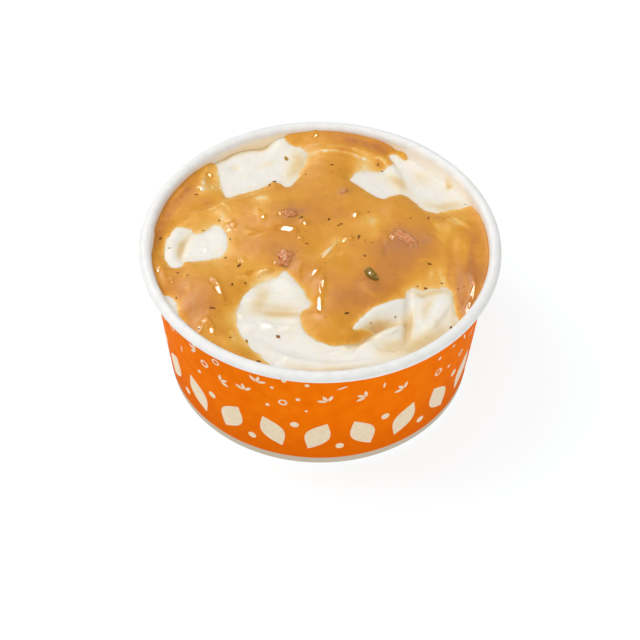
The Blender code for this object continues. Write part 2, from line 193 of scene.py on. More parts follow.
def white_board():
    """Clay-coated white paperboard: satin, with faint fibre clouds, and a film of food where it touched it; the film
    and the smears also hold painted light that warms and brightens the inside of the wall.
    """
    made, tree, shader = new_material("coated_white_paperboard")
    place = add_node(tree, "TexCoord").outputs["Object"]
    clouds = add_node(tree, "TexNoise", Vector=place, Scale=1 / (2.4 * MM), Detail=3.0)
    colour = add_node(
        tree, "ValToRGB", {"stops": [(0.3, "#EDECE9"), (0.7, "#F5F4F2")]}, Fac=clouds.outputs["Fac"]
    ).outputs["Color"]
    edge = add_node(tree, "TexNoise", Vector=place, Scale=1 / (2.2 * MM), Detail=3.0).outputs["Fac"]
    # Smears of food, and painted light where the wall is brightened or warmed.
    for centre, radius, strength, smear_and_light_colour in WALL_SMEARS_AND_PAINTED_LIGHT:
        gap = add_node(
            tree, "VectorMath", {"operation": "DISTANCE"}, _0=place, _1=[c * MM for c in centre]
        ).outputs["Value"]
        ragged = add_node(tree, "Math", {"operation": "MULTIPLY_ADD"}, _0=edge, _1=-1.6 * MM, _2=gap).outputs[0]
        share = add_node(
            tree, "MapRange", {"interpolation_type": "SMOOTHSTEP"}, Value=ragged, From_Min=radius * MM,
            From_Max=(radius - 1.2) * MM, To_Max=strength,
        ).outputs[0]
        colour = add_node(tree, "Mix", {"data_type": "RGBA"}, _0=share, _6=colour, _7=linear(smear_and_light_colour)).outputs[2]
    # A warm near-white over the inside of the wall below the roll: partly a film of food, partly painted light, as if
    # light bounced off the food lit the inner wall.
    flat = add_node(tree, "VectorMath", {"operation": "MULTIPLY"}, _0=place, _1=(1, 1, 0)).outputs["Vector"]
    outward = add_node(tree, "VectorMath", {"operation": "LENGTH"}, _0=flat).outputs["Value"]
    inner = add_node(tree, "Math", {"operation": "LESS_THAN"}, _0=outward, _1=(RIM_R - 2.6) * MM).outputs[0]
    height = add_node(tree, "SeparateXYZ", Vector=place).outputs["Z"]
    ragged = add_node(tree, "Math", {"operation": "MULTIPLY_ADD"}, _0=edge, _1=2.4 * MM, _2=height).outputs[0]
    low = add_node(
        tree, "MapRange", {"interpolation_type": "SMOOTHSTEP"}, Value=ragged, From_Min=40.6 * MM,
        From_Max=39.4 * MM, To_Max=0.4,
    ).outputs[0]
    share = add_node(tree, "Math", {"operation": "MULTIPLY"}, _0=inner, _1=low).outputs[0]
    colour = add_node(tree, "Mix", {"data_type": "RGBA"}, _0=share, _6=colour, _7=linear("#FFEFD6")).outputs[2]
    fibres = add_node(tree, "TexNoise", Vector=place, Scale=1 / (0.38 * MM), Detail=2.0)
    bump = add_node(tree, "Bump", Height=fibres.outputs["Fac"], Strength=0.12, Distance=0.08 * MM)
    tree.links.new(colour, shader.inputs["Base Color"])
    tree.links.new(bump.outputs["Normal"], shader.inputs["Normal"])
    shader.inputs["Roughness"].default_value = 0.5
    shader.inputs["Specular IOR Level"].default_value = 0.3
    return made


def printed_board():
    """The same board under orange flexographic ink: slightly uneven ink, with a rough edge under the roll, and painted
    shade that darkens the ink towards the foot.
    """
    made, tree, shader = new_material("orange_printed_paperboard")
    place = add_node(tree, "TexCoord").outputs["Object"]
    height = add_node(tree, "SeparateXYZ", Vector=place).outputs["Z"]
    brush = add_node(tree, "TexNoise", Vector=place, Scale=1 / (1.9 * MM), Detail=3.0).outputs["Fac"]
    ragged = add_node(tree, "Math", {"operation": "MULTIPLY_ADD"}, _0=brush, _1=2.2 * MM, _2=-1.1 * MM).outputs[0]
    top = add_node(tree, "Math", {"operation": "ADD"}, _0=height, _1=ragged).outputs[0]
    under_top = add_node(tree, "Math", {"operation": "LESS_THAN"}, _0=top, _1=PRINT_TOP * MM).outputs[0]
    over_band = add_node(tree, "Math", {"operation": "GREATER_THAN"}, _0=height, _1=BARE_BAND * MM).outputs[0]
    printed = add_node(tree, "Math", {"operation": "MULTIPLY"}, _0=under_top, _1=over_band).outputs[0]
    clouds = add_node(tree, "TexNoise", Vector=place, Scale=1 / (3.8 * MM), Detail=4.0).outputs["Fac"]
    ink = add_node(tree, "ValToRGB", {"stops": [(0.35, "#FA7400"), (0.65, "#FF7E06")]}, Fac=clouds)
    # Painted shade: the ink darkens towards the foot, as if the lower wall stood in shade.
    ink_shade_towards_foot = add_node(tree, "MapRange", Value=height, From_Min=20 * MM, From_Max=2 * MM, To_Max=0.6).outputs[0]
    ink = add_node(tree, "Mix", {"data_type": "RGBA"}, _0=ink_shade_towards_foot, _6=ink.outputs["Color"], _7=linear("#DC5E04"))
    colour = add_node(tree, "Mix", {"data_type": "RGBA"}, _0=printed, _6=linear(BOARD_SHADED), _7=ink.outputs[2])
    fibres = add_node(tree, "TexNoise", Vector=place, Scale=1 / (0.38 * MM), Detail=2.0)
    bump = add_node(tree, "Bump", Height=fibres.outputs["Fac"], Strength=0.12, Distance=0.08 * MM)
    tree.links.new(colour.outputs[2], shader.inputs["Base Color"])
    tree.links.new(bump.outputs["Normal"], shader.inputs["Normal"])
    shader.inputs["Roughness"].default_value = 0.55
    shader.inputs["Specular IOR Level"].default_value = 0.005
    return made


def add_lap_seam(bm):
    """One end of the blank lies over the other: the wall and its roll step out along the seam."""
    for turn in (LAP_ANGLE - math.radians(0.35), LAP_ANGLE):
        side = Vector((math.cos(turn), math.sin(turn), 0))
        near = [f for f in bm.faces if f.calc_center_median().dot(side) > 0.9 * FOOT_R]
        near += list(dict.fromkeys([*(e for f in near for e in f.edges), *(v for f in near for v in f.verts)]))
        bmesh.ops.bisect_plane(bm, geom=near, plane_co=(0, 0, 0), plane_no=(-side.y, side.x, 0))
    for vert in bm.verts:
        past = (math.atan2(vert.co.y, vert.co.x) - LAP_ANGLE + 0.001) % (2 * math.pi)
        share = max(0.0, min(1.0, (LAP_WIDTH - past) / (0.3 * LAP_WIDTH)))
        outward = vert.co.xy.length
        if vert.co.z > ROLL_CENTRE[1] - ROLL_R:
            from_roll = Vector((outward - ROLL_CENTRE[0], vert.co.z - ROLL_CENTRE[1]))
            swollen = from_roll * (1 + share * LAP_STEP / ROLL_R)
            vert.co.xy *= (ROLL_CENTRE[0] + min(swollen.x, ROLL_R)) / outward
            vert.co.z = ROLL_CENTRE[1] + swollen.y
        elif outward > wall_radius(vert.co.z):
            vert.co.xy *= 1 + share * LAP_STEP / outward


foot_centre = (wall_radius(FOOT_BEND) - FOOT_BEND, FOOT_BEND + BOARD / 2)
wall_route = [Vector((wall_radius(FOLD_HEIGHT) - 2 * FOOT_BEND, FOLD_HEIGHT))]
wall_route += arc(foot_centre, FOOT_BEND, math.pi, math.pi, 10)
wall_route += [
    Vector((wall_radius(z), z))
    for z in np.linspace(2 * FOOT_BEND + 0.5, ROLL_CENTRE[1] - 0.5, WALL_HEIGHTS)
]
wall_route += arc(ROLL_CENTRE, ROLL_R - BOARD / 2, math.pi, math.radians(-342), 32, shrink=0.45)
wall = spin_profile(sheet_outline(wall_route, BOARD / 2), WALL_STEPS)
add_lap_seam(wall)
cup_wall = finish_piece(
    "paper_cup_wall", wall, "printed_board", ["cup_wall"], [white_board(), printed_board()]
)
for face in cup_wall.data.polygons:
    outward = face.normal.xy.dot(face.center.xy) > 0
    past_middle = face.center.xy.length > wall_radius(face.center.z / MM) * MM
    face.material_index = int(outward and past_middle and face.center.z < (ROLL_CENTRE[1] - 1) * MM)

# ---------------------------------------------------------------------------------------------------------
# The cup's base. A disc of the same white board is pushed up into the wall, and its skirt is gripped
# between the wall and the wall's folded foot.

BASE_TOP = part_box("cup_base")[1].z / MM
base_route = [Vector((wall_radius(1.6) - FOOT_BEND, 1.6))]
base_route += arc((wall_radius(BASE_TOP) - FOOT_BEND - 1, BASE_TOP - 1 - BOARD / 2), 1, 0, math.pi / 2, 8)
base_route += [Vector((r, BASE_TOP - BOARD / 2)) for r in (30, 20, 10)]
base_outline = sheet_outline(base_route, BOARD / 2)
base = spin_profile(base_outline[len(base_route) :] + base_outline[: len(base_route)], 192, closed=False)
bmesh.ops.holes_fill(base, edges=[e for e in base.edges if e.is_boundary], sides=0)
finish_piece("paper_cup_base", base, "white_board", ["cup_base"], [cup_wall.data.materials[0]])

# ---------------------------------------------------------------------------------------------------------
# The cream motifs of the print: stout leaves round the lower half of the wall, and sprigs, rings, dots
# and dashes scattered over the upper half. They are bare board that the orange ink leaves out.

MOTIF_PROUD = 0.04
LEAF_COUNT = 22
LEAF_HEIGHT = 12.2
LEAF_SIZE = (11.6, 6.3)
LEAF_LEAN = math.radians(24)
SMALL_BAND = (22.5, 34.5)
SMALL_COUNT = 190
MOTIF_CREAM = "#F3DDB9"


def disc_patch(bm, cells):
    """A disc of radius 1, as a grid whose square is rounded off: its new points."""
    made = bmesh.ops.create_grid(bm, x_segments=cells, y_segments=cells, size=1)["verts"]
    for vert in made:
        x, y = vert.co.x, vert.co.y
        vert.co = Vector((x * math.sqrt(1 - y * y / 2), y * math.sqrt(1 - x * x / 2), 0))
    return made


def place_motif(verts, along, height, size, lean, pinch=0.0):
    """Sizes, leans and places a motif in the flat print. A pinch draws both its ends to a point."""
    for vert in verts:
        x, y = vert.co.x, vert.co.y
        flat = Vector((x * size[0] / 2, y * (1 - pinch * x * x) * size[1] / 2))
        turned = Vector((
            flat.x * math.cos(lean) - flat.y * math.sin(lean),
            flat.x * math.sin(lean) + flat.y * math.cos(lean),
        ))
        vert.co = Vector((along + turned.x, height + turned.y, 0))


def small_motif(bm, kind, along, height, lean, rng):
    """One of the small motifs: a dot, a dash, a ring, or a sprig of three leaflets."""
    if kind == "dot":
        size = rng.uniform(0.7, 1.3)
        place_motif(disc_patch(bm, 3), along, height, (size, size), 0)
    elif kind == "dash":
        place_motif(disc_patch(bm, 4), along, height, (rng.uniform(2.0, 3.4), 0.55), lean, 0.4)
    elif kind == "ring":
        ring = bmesh.ops.create_circle(bm, cap_ends=False, radius=rng.uniform(0.9, 1.4), segments=20)["verts"]
        rim = list(dict.fromkeys(e for v in ring for e in v.link_edges))
        inner = bmesh.ops.extrude_edge_only(bm, edges=rim)["geom"]
        inside = [g for g in inner if isinstance(g, bmesh.types.BMVert)]
        bmesh.ops.scale(bm, vec=(0.6, 0.6, 1), verts=inside)
        bmesh.ops.translate(bm, vec=(along, height, 0), verts=ring + inside)
    else:
        for turn in (-0.9, 0, 0.9):
            reach = 1.5
            x, y = along + reach * math.cos(lean + turn), height + reach * math.sin(lean + turn)
            place_motif(disc_patch(bm, 4), x, y, (2.4, 0.95), lean + turn, 0.6)


def too_near(place, others, gap):
    return any((place - other).length < gap for other in others)


rng = random.Random(5)
print_shapes = bmesh.new()
girth = 2 * math.pi * (wall_radius(CUP_HEIGHT / 2) + BOARD / 2)
seam_at = girth * LAP_ANGLE / (2 * math.pi)
for i in range(LEAF_COUNT):
    along = girth * (i + 0.5) / LEAF_COUNT
    lean = math.pi / 2 + (LEAF_LEAN if i % 2 else -LEAF_LEAN)
    place_motif(disc_patch(print_shapes, 10), along, LEAF_HEIGHT, LEAF_SIZE, lean, 0.75)
    if i % 2:
        place_motif(disc_patch(print_shapes, 5), along + girth / LEAF_COUNT / 2, LEAF_HEIGHT + 4.4, (2.2, 2.2), 0)
    else:
        place_motif(disc_patch(print_shapes, 5), along + girth / LEAF_COUNT / 2, LEAF_HEIGHT - 4.4, (2.2, 2.2), 0)
taken = []
for i in range(SMALL_COUNT):
    place = Vector((rng.uniform(0, girth), rng.uniform(*SMALL_BAND)))
    kind = rng.choice(["dot", "dot", "dash", "ring", "sprig", "sprig"])
    lean = rng.uniform(0, math.pi)
    if not too_near(place, taken, 3.6):
        taken.append(place)
        small_motif(print_shapes, kind, place.x, place.y, lean, rng)
bmesh.ops.remove_doubles(print_shapes, verts=print_shapes.verts, dist=0.001)
bmesh.ops.recalc_face_normals(print_shapes, faces=print_shapes.faces)
lifted = bmesh.ops.extrude_face_region(print_shapes, geom=print_shapes.faces[:], use_keep_orig=True)["geom"]
bmesh.ops.translate(
    print_shapes, vec=(0, 0, MOTIF_PROUD), verts=[g for g in lifted if isinstance(g, bmesh.types.BMVert)]
)
for vert in print_shapes.verts:
    turn = 2 * math.pi * vert.co.x / girth
    on_lap = 0 <= (turn - LAP_ANGLE) % (2 * math.pi) < LAP_WIDTH
    out = wall_radius(vert.co.y) + BOARD / 2 + vert.co.z + (LAP_STEP if on_lap else 0)
    vert.co = Vector((out * math.cos(turn), out * math.sin(turn), vert.co.y))


def cream_board():
    """Bare board between the ink: coloured creamier than inside, a painted warm cast standing in for the glow of the
    orange beside it.
    """
    made, tree, shader = new_material("cream_unprinted_paperboard")
    place = add_node(tree, "TexCoord").outputs["Object"]
    clouds = add_node(tree, "TexNoise", Vector=place, Scale=1 / (1.4 * MM), Detail=3.0)
    shade = add_node(tree, "ValToRGB", {"stops": [(0.3, "#EFD6AE"), (0.7, "#F6E2C2")]}, Fac=clouds.outputs["Fac"])
    tree.links.new(shade.outputs["Color"], shader.inputs["Base Color"])
    shader.inputs["Roughness"].default_value = 0.45
    shader.inputs["IOR"].default_value = 1.48
    return made


finish_piece("bare_board_motifs", print_shapes, "printed_board", (), [cream_board()])

# ---------------------------------------------------------------------------------------------------------
# The mash. It is scooped into the cup and pressed down with a spoon: a low dome with a hollow at the back
# right, and soft ridges, creases and swirls wherever the gravy leaves it bare.

FILL_LEVEL = 36.1
DOME_RISE = 1.0
WALL_BITE = 0.12
EDGE_REACH = 9
MASH_CELLS = 296

# x, y, radius, rise
MASH_SWELLS = {
    "scooped_at_back_right": (31, 30, 10, -1.0),
    "behind_the_chunk": (-22, 35, 2.6, 0.5),
    "dip_behind_the_chunk": (-15.5, 39, 2.6, -0.9),
    "corner_of_the_chunk": (-11, 40.5, 3, 1.2),
    "left_end_of_the_chunk": (-27, 30.5, 3.6, 0.6),
    "full_at_the_back": (2, 42, 11, 0.7),
    "mound_under_the_gravy": (-9, 9, 9, 0.4),
    "mound_at_the_right": (20, 4, 11, 0.4),
    "hollow_at_the_front_wall": (0, -41, 9, -0.9),
    "right_edge_of_the_left_patch": (-23, 3.0, 4.0, 0.9),
    "edge_of_the_lower_left_patch": (-34.4, -20.4, 4.0, 0.9),
    "left_edge_of_the_tongue_head": (-4.4, -24, 3.6, 0.9),
    "left_edge_of_the_tongue": (-3.8, -14.5, 3.0, 0.7),
    "right_edge_of_the_front_right": (33.4, -17.6, 4.0, 0.8),
    "right_edge_of_the_chunk": (-4.6, 32.4, 4.0, 0.8),
}

# rise, width on the left and on the right of the stroke, route
SPOON_MARKS = {
    "crest_beside_the_tongue": (1.7, 1.4, 2.2, [(7, -28.5), (9.5, -25), (13.5, -20.6), (19, -17.6), (24, -16)]),
    "groove_under_the_crest": (-1.5, 1.1, 1.5, [(8, -31), (13, -26.8), (17, -23.6), (20.5, -22)]),
    "lip_below_the_groove": (1.2, 0.8, 2.4, [(10, -32), (13, -28.8), (17, -26), (20, -24.8)]),
    "crease_down_the_right": (-1.5, 0.7, 1.6, [(22.4, -15), (21.8, -20), (21.6, -25), (21, -29.5)]),
    "edge_of_the_crease": (0.5, 1.2, 0.9, [(20.6, -17), (20.3, -22), (20, -27)]),
    "lobe_at_the_right": (1.1, 2.4, 2.4, [(30.5, -12.5), (28.5, -19), (26.5, -25), (23.5, -29.4)]),
    "fold_in_the_lobe": (-0.5, 0.8, 1.4, [(30, -15), (27.6, -19.6), (25.6, -24)]),
    "ledge_below_the_peak": (-1.2, 0.9, 2.2, [(-17, -18.6), (-12, -18.8), (-7, -19.8), (-4, -20.4)]),
    "peak_at_the_front": (1.2, 2.6, 2.6, [(-8.6, -9), (-7.5, -13), (-5, -17)]),
    "ridge_across_the_front": (0.7, 1.2, 1.8, [(-19, -25), (-12, -26), (-5, -27), (0, -30)]),
    "swirl_round_the_tongue": (-0.8, 1.6, 2.0, [(-15, -28), (-9, -31), (-2, -33.6), (6, -34.6), (12, -33)]),
    "outer_swirl": (0.8, 1.2, 2.0, [(-13, -33.4), (-6, -36), (3, -37.4), (12, -36)]),
    "edge_of_the_back_chunk": (0.25, 1.4, 2.6, [(-27, 29.6), (-23.5, 32.4), (-20.5, 33.2), (-17, 35.2), (-13.6, 35.8), (-11, 38.6)]),
    "dent_in_the_back_chunk": (-0.5, 1.6, 1.6, [(-22.6, 31), (-22, 28.5)]),
    "left_curl": (0.6, 1.6, 1.4, [(-35.5, 7), (-37, 3), (-37, -2), (-35.6, -5)]),
    "crease_beside_the_curl": (-0.45, 0.9, 1.0, [(-31.6, 6), (-33.6, 3), (-34.4, -1), (-34.4, -3.4)]),
    "fold_at_the_back_right": (0.9, 1.2, 1.9, [(14, 34.5), (17.5, 32), (19.4, 28), (20, 24)]),
    "fold_under_the_lip": (0.6, 0.8, 1.4, [(11.5, -31.6), (15, -33.4), (18.4, -33.8), (22.4, -32)]),
    "ledge_at_the_front": (-0.5, 0.7, 1.6, [(4.4, -41), (6, -38.8), (10.6, -37.8), (15.6, -36.4)]),
    "ripple_in_the_lobe": (0.5, 0.6, 1.0, [(32, -17), (30, -21), (27, -26)]),
    "ripple_under_the_peak": (0.4, 0.5, 1.2, [(-15, -16), (-11, -15), (-7.4, -17)]),
    "strand_at_the_back": (0.3, 0.5, 0.6, [(12, 37.2), (15, 36.4), (17, 34.4), (18, 32)]),
}

# strength, width, route: where thin gravy has stained the bare mash, with painted shade in the grooves, creases and
# ledges and under the rim
MASH_STAINS_AND_SHADE = {
    "under_the_peak": (0.85, 2.2, [(-14, -20.3), (-8, -21), (-4.5, -21.6)]),
    "left_of_the_peak": (0.5, 2.0, [(-14.4, -12), (-14, -16), (-16, -20)]),
    "groove_beside_the_crest": (1.2, 1.9, [(7, -31.2), (11, -28.4), (15, -24.8), (19.5, -23.4)]),
    "crease_down_the_right": (0.8, 1.2, [(22.2, -19), (21.8, -25), (21, -29.6)]),
    "fold_in_the_lobe": (0.45, 1.3, [(28, -15), (26, -19), (25.4, -23)]),
    "under_the_rim_at_the_right": (0.7, 2.6, [(16, -34), (22, -32), (28, -28), (32, -24)]),
    "under_the_rim_at_the_front": (0.65, 1.5, [(-7, -38.6), (0, -39.8), (8, -39)]),
    "pool_below_the_lip": (0.4, 2.0, [(14, -33), (17, -31), (20, -29)]),
    "ledge_behind_the_chunk": (0.9, 1.1, [(-28.6, 30.6), (-25, 33.4), (-21.6, 36.4), (-18, 37.8), (-15, 38.2), (-12.6, 41)]),
    "top_of_the_lobe": (0.6, 1.2, [(22.6, -13), (25, -14.6), (28, -13.4), (31.6, -13.4)]),
    "right_of_the_lobe": (0.4, 1.0, [(32.6, -15), (33, -19), (32.6, -23)]),
    "ledge_at_the_front": (0.5, 0.9, [(4, -41), (6, -39.4), (10.6, -38.4), (16, -37)]),
    "back_chunk_right": (0.7, 2.0, [(-6.5, 36), (-6, 31), (-8.5, 26)]),
    "back_chunk_dent": (0.35, 1.0, [(-22, 31.5), (-22, 29)]),
    "back_chunk_streak": (0.3, 1.0, [(-15, 31), (-12, 32.5)]),
    "left_crease": (0.7, 1.0, [(-33, 5.4), (-34.4, 2.5), (-35, -1), (-34.8, -3.4)]),
    "back_right_shoulder": (0.6, 1.8, [(16.5, 28), (20, 25), (21.5, 22)]),
    "back_right_smear": (0.9, 0.8, [(32.4, 24.4), (32.9, 27.4)]),
    "back_right_edge": (0.5, 1.6, [(25, 18.5), (30, 17), (36, 19)]),
    "back_right_middle": (0.35, 2.4, [(24, 30), (27, 26)]),
}

# Outlines, from above, of the mash that the gravy leaves bare. A point past the wall only closes its loop.
BARE_PATCHES = {
    "back_left": [
        (-10.3, 41.2), (-8.6, 38.8), (-7, 37.8), (-5.2, 37.2), (-4.0, 33.5), (-5.4, 29), (-6.2, 25.6), (-8.6, 22.8),
        (-10.8, 24.4), (-12.6, 24.8), (-14.6, 23), (-17.5, 21.6), (-21, 20.2), (-24, 19.2), (-25.4, 22.5),
        (-25.9, 26.4), (-26.8, 30.2), (-29.4, 35.4), (-24, 39), (-14, 45),
    ],
    "back_right": [
        (7.6, 26), (8.6, 28.2), (11, 29.2), (14.2, 28.8), (16.8, 30.2), (18.4, 32.4), (17.4, 35.4), (19.2, 36.4),
        (21.6, 34), (24, 38), (34, 36), (43, 25), (42, 18.4), (38.6, 18.4), (35, 17), (31.6, 16), (28.4, 14.8),
        (26, 15.8), (24, 18), (22.4, 20), (20, 21.2), (17.8, 20.2), (16, 19.2), (13.6, 20.2), (11, 22.4),
        (9, 24.4),
    ],
    "left": [
        (-36, 8), (-38, 4.6), (-38.6, 1), (-38.4, -2.8), (-36.6, -5.8), (-34.4, -5.6), (-33.6, -4), (-30, -3.6),
        (-26, -2.8), (-23.6, -0.6), (-23.4, 3), (-24.6, 6.8), (-26.6, 8.8), (-28.6, 6.8), (-31.2, 5.8), (-34, 7.6),
    ],
    "front": [
        (-8.6, -7.4), (-6.9, -10.2), (-5.4, -12.6), (-3.8, -15.4), (-2.3, -18.8), (-4.3, -20.4), (-4.9, -23),
        (-3.9, -27), (-1.6, -29.4), (1.6, -30.9), (5.4, -31.2), (8.6, -30.4), (11.2, -28.2), (13.8, -26.2),
        (11.6, -26), (8.2, -26.9), (9.4, -24.4), (12, -21.2), (15, -18.6), (18, -17), (20.4, -16), (21.8, -13.4),
        (23.2, -12.4), (25.2, -13.2),
        (27.2, -12.4), (29, -12.7), (30.8, -12), (32.2, -13.6), (32.7, -17.2), (33.2, -20.4), (33.8, -22.4),
        (32.6, -25), (36, -31), (20, -48), (-6, -50), (-16, -44), (-11.5, -38.3), (-13.2, -35.6), (-16, -32.4),
        (-18.6, -28.4), (-20, -24), (-20, -20), (-18.6, -16), (-16, -12.6), (-13, -11), (-10.6, -9.4),
    ],
    "lower_left": [(-39, -15.6), (-36.6, -16.2), (-35.2, -18.4), (-34.8, -21.6), (-33.4, -26), (-41, -31), (-47, -18)],
}


# x, y, radius, share: where the gravy's edge is a thin film that fades into the mash
FEATHERS = {
    "left_of_the_front_patch": (-19.5, -22, 5.5, 1.0),
    "lower_left_of_the_front_patch": (-17, -30, 4, 0.8),
    "above_the_front_peak": (-13.5, -10.5, 4.5, 1.0),
    "top_of_the_front_right": (27, -12, 5.5, 0.9),
    "beside_the_crest": (20.5, -15, 3.4, 1.0),
    "end_of_the_crest": (12.5, -27, 2.4, 0.9),
    "top_of_the_left_patch": (-30.5, 6.5, 4, 0.9),
    "left_of_the_left_patch": (-37.5, 1.5, 4.4, 0.8),
    "below_the_left_patch": (-27, -2.5, 5, 0.8),
    "right_of_the_left_patch": (-21.5, 4, 6, 0.7),
    "left_of_the_tongue_head": (-3.5, -24.5, 4.4, 0.5),
    "left_of_the_tongue": (-3.5, -14.5, 4, 0.6),
    "right_of_the_lower_left_patch": (-32, -21.5, 6, 0.4),
    "right_of_the_front_right_patch": (35.5, -17, 5.4, 0.4),
    "right_of_the_chunk": (-5.5, 32.5, 4.6, 1.0),
    "below_the_chunk": (-18, 20.5, 4, 0.5),
    "left_of_the_chunk": (-26.5, 26.5, 4.4, 1.0),
    "top_of_the_back_right": (12, 30.5, 5, 1.0),
    "right_of_the_back_right": (34, 15.5, 6, 0.9),
    "lower_left_patch": (-36, -18, 3.4, 0.5),
    "front_left_wall": (-14, -36, 3.4, 0.8),
}

# x, y, length, width, turn in degrees, strength: where the mash is moist and glistens
MOIST_SPOTS = {
    "below_the_peak": (-13, -25.6, 5.0, 1.3, -24, 0.5),
    "below_the_peak_right": (-8.6, -26.4, 4.0, 1.0, 0, 0.4),
    "on_the_lip": (15.4, -28.2, 8.0, 0.7, 27, 0.7),
    "under_the_tongue": (5, -32.6, 7.0, 0.4, 4, 0.5),
    "front_left": (-9, -36.4, 4.4, 1.2, 36, 0.5),
    "left_edge": (-19.4, -22.4, 1.6, 1.0, 80, 0.5),
    "corner_of_the_chunk": (-5.8, 36.6, 1.6, 0.7, -60, 0.6),
    "right_of_the_chunk": (-5.6, 34.6, 1.2, 0.6, -30, 0.6),
    "behind_the_chunk": (-15.6, 35.0, 1.4, 0.6, 30, 0.5),
    "left_end_of_the_chunk": (-25.4, 27.6, 1.2, 0.6, 60, 0.5),
    "back_right": (24.5, 23.5, 1.6, 0.7, -60, 0.5),
    "back_right_high": (26, 27.6, 1.4, 0.8, -20, 0.5),
    "back_right_low": (30, 22.0, 2.0, 0.6, -40, 0.5),
    "left_patch": (-28.6, -0.2, 1.6, 0.8, 50, 0.6),
}
# Where the small softbox and the viewer stand, in millimetres: the wettest skin lies tilted between them.
GLOSS_FROM = Vector((-620, 820, 900))
SEEN_FROM = Vector((0, -483, 527))


def food_radius(height):
    """Radius at which the food meets the wall: it reaches just into the board, so that no gap shows."""
    return wall_radius(height) - BOARD / 2 + WALL_BITE


def smooth_loop(points, steps=5):
    """A smooth closed loop through the points (a Catmull-Rom curve)."""
    here = np.array(points, float)
    before, after, beyond = np.roll(here, 1, 0), np.roll(here, -1, 0), np.roll(here, -2, 0)
    slope, next_slope = (after - before) / 2, (beyond - here) / 2
    stretches = []
    for t in np.arange(steps) / steps:
        lead = 2 * t**3 - 3 * t**2
        stretch = here * (1 + lead) - after * lead
        stretches.append(stretch + slope * (t**3 - 2 * t**2 + t) + next_slope * (t**3 - t**2))
    return np.stack(stretches, 1).reshape(-1, 2)


def in_batches(work, places, size=6000):
    """Runs work on the places a batch at a time, to save memory, and joins what it returns."""
    parts = [work(places[i : i + size]) for i in range(0, len(places), size)]
    return [np.concatenate(column) for column in zip(*parts)]


def nearest_on(route, places):
    """For each place: its distance from the route, how far along it that is (0 to 1), and on which side."""
    route = np.array(route, float)
    starts, along = route[:-1], route[1:] - route[:-1]
    lengths = np.hypot(along[:, 0], along[:, 1])
    travelled = np.concatenate([[0], np.cumsum(lengths)])

    def work(batch):
        offset = batch[:, None] - starts
        share = np.clip((offset * along).sum(2) / lengths**2, 0, 1)
        apart = offset - share[..., None] * along
        gap = np.hypot(apart[..., 0], apart[..., 1])
        rows, best = np.arange(len(batch)), gap.argmin(1)
        progress = (travelled[best] + share[rows, best] * lengths[best]) / travelled[-1]
        leftward = along[best, 0] * offset[rows, best, 1] - along[best, 1] * offset[rows, best, 0]
        return gap[rows, best], progress, np.sign(leftward)

    return in_batches(work, places)


def inside_loop(loop, places):
    """Whether each place is inside the loop, by counting the edges to its right."""
    ends = np.roll(loop, -1, 0)
    rise = np.where(ends[:, 1] == loop[:, 1], 1, ends[:, 1] - loop[:, 1])

    def work(batch):
        x, y = batch[:, :1], batch[:, 1:]
        spans = (loop[:, 1] > y) != (ends[:, 1] > y)
        crossing = loop[:, 0] + (y - loop[:, 1]) * (ends[:, 0] - loop[:, 0]) / rise
        return ((spans & (x < crossing)).sum(1) % 2 == 1,)

    return in_batches(work, places)[0]


def distance_from_bare(places):
    """Distance from the nearest bare patch: above 0 where gravy lies, below 0 on bare mash."""
    nearest = np.full(len(places), np.inf)
    for points in BARE_PATCHES.values():
        loop = smooth_loop(points)
        low, high = loop.min(0) - EDGE_REACH, loop.max(0) + EDGE_REACH
        near = ((places > low) & (places < high)).all(1)
        if near.any():
            gap = nearest_on(np.vstack([loop, loop[:1]]), places[near])[0]
            gap = np.where(inside_loop(loop, places[near]), -gap, gap)
            nearest[near] = np.minimum(nearest[near], gap)
    ragged = 0.3 * ripple(places, 2.4, 8.0) + 0.16 * ripple(places, 0.9, 9.0)
    return nearest + ragged


def swell(places, x, y, radius, rise):
    return rise * np.exp(-((places - (x, y)) ** 2).sum(1) / radius**2)


def lump(places, x, y, length, width, turn, rise):
    """A smooth long mound, turned from the X axis."""
    c, s = math.cos(math.radians(turn)), math.sin(math.radians(turn))
    along = (places[:, 0] - x) * c + (places[:, 1] - y) * s
    across = (places[:, 1] - y) * c - (places[:, 0] - x) * s
    return rise * np.exp(-((2 * along / length) ** 2) - (across / width) ** 2)


def all_of(shape, places, table):
    return sum(shape(places, *row) for row in table.values())


def lit_slope(x, y):
    """The slope along X and Y of a skin that shows the softbox."""
    spot = Vector((x, y, 39))
    halfway = (GLOSS_FROM - spot).normalized() + (SEEN_FROM - spot).normalized()
    return (-halfway.x / halfway.z, -halfway.y / halfway.z)


def tilt_facets(places, heights, table):
    """Flattens a facet of the wet skin at each spot and tilts it to face the light: the new heights."""
    heights = heights.copy()
    for x, y, length, width, turn, _ in table.values():
        reach = -np.log(np.clip(lump(places, x, y, length, width, turn, 1), 1e-9, None))
        window = np.exp(-(reach**3))
        offset = places - (x, y)
        level = (heights * window).sum() / window.sum()
        heights += window * (level + offset @ lit_slope(x, y) - heights)
    return heights


def stroke(places, rise, left, right, route):
    """A ridge, or a groove if rise is below 0, that fades at both ends of its route."""
    gap, progress, side = nearest_on(route, places)
    width = np.where(side > 0, left, right)
    return rise * np.exp(-((gap / width) ** 2)) * np.sin(math.pi * (0.12 + 0.76 * progress))


def ripple(places, length, seed, depth=2):
    """Smooth noise from about -1 to 1 whose waves are about length across."""
    return np.array([
        noise.fractal(Vector((x / length, y / length, seed)), 1.0, 2.0, depth) for x, y in places
    ])


def softness(places):
    """From 0, where the gravy's edge is crisp, to 1, where it fades over a few millimetres."""
    return np.clip(sum(swell(places, *place) for place in FEATHERS.values()), 0, 1)


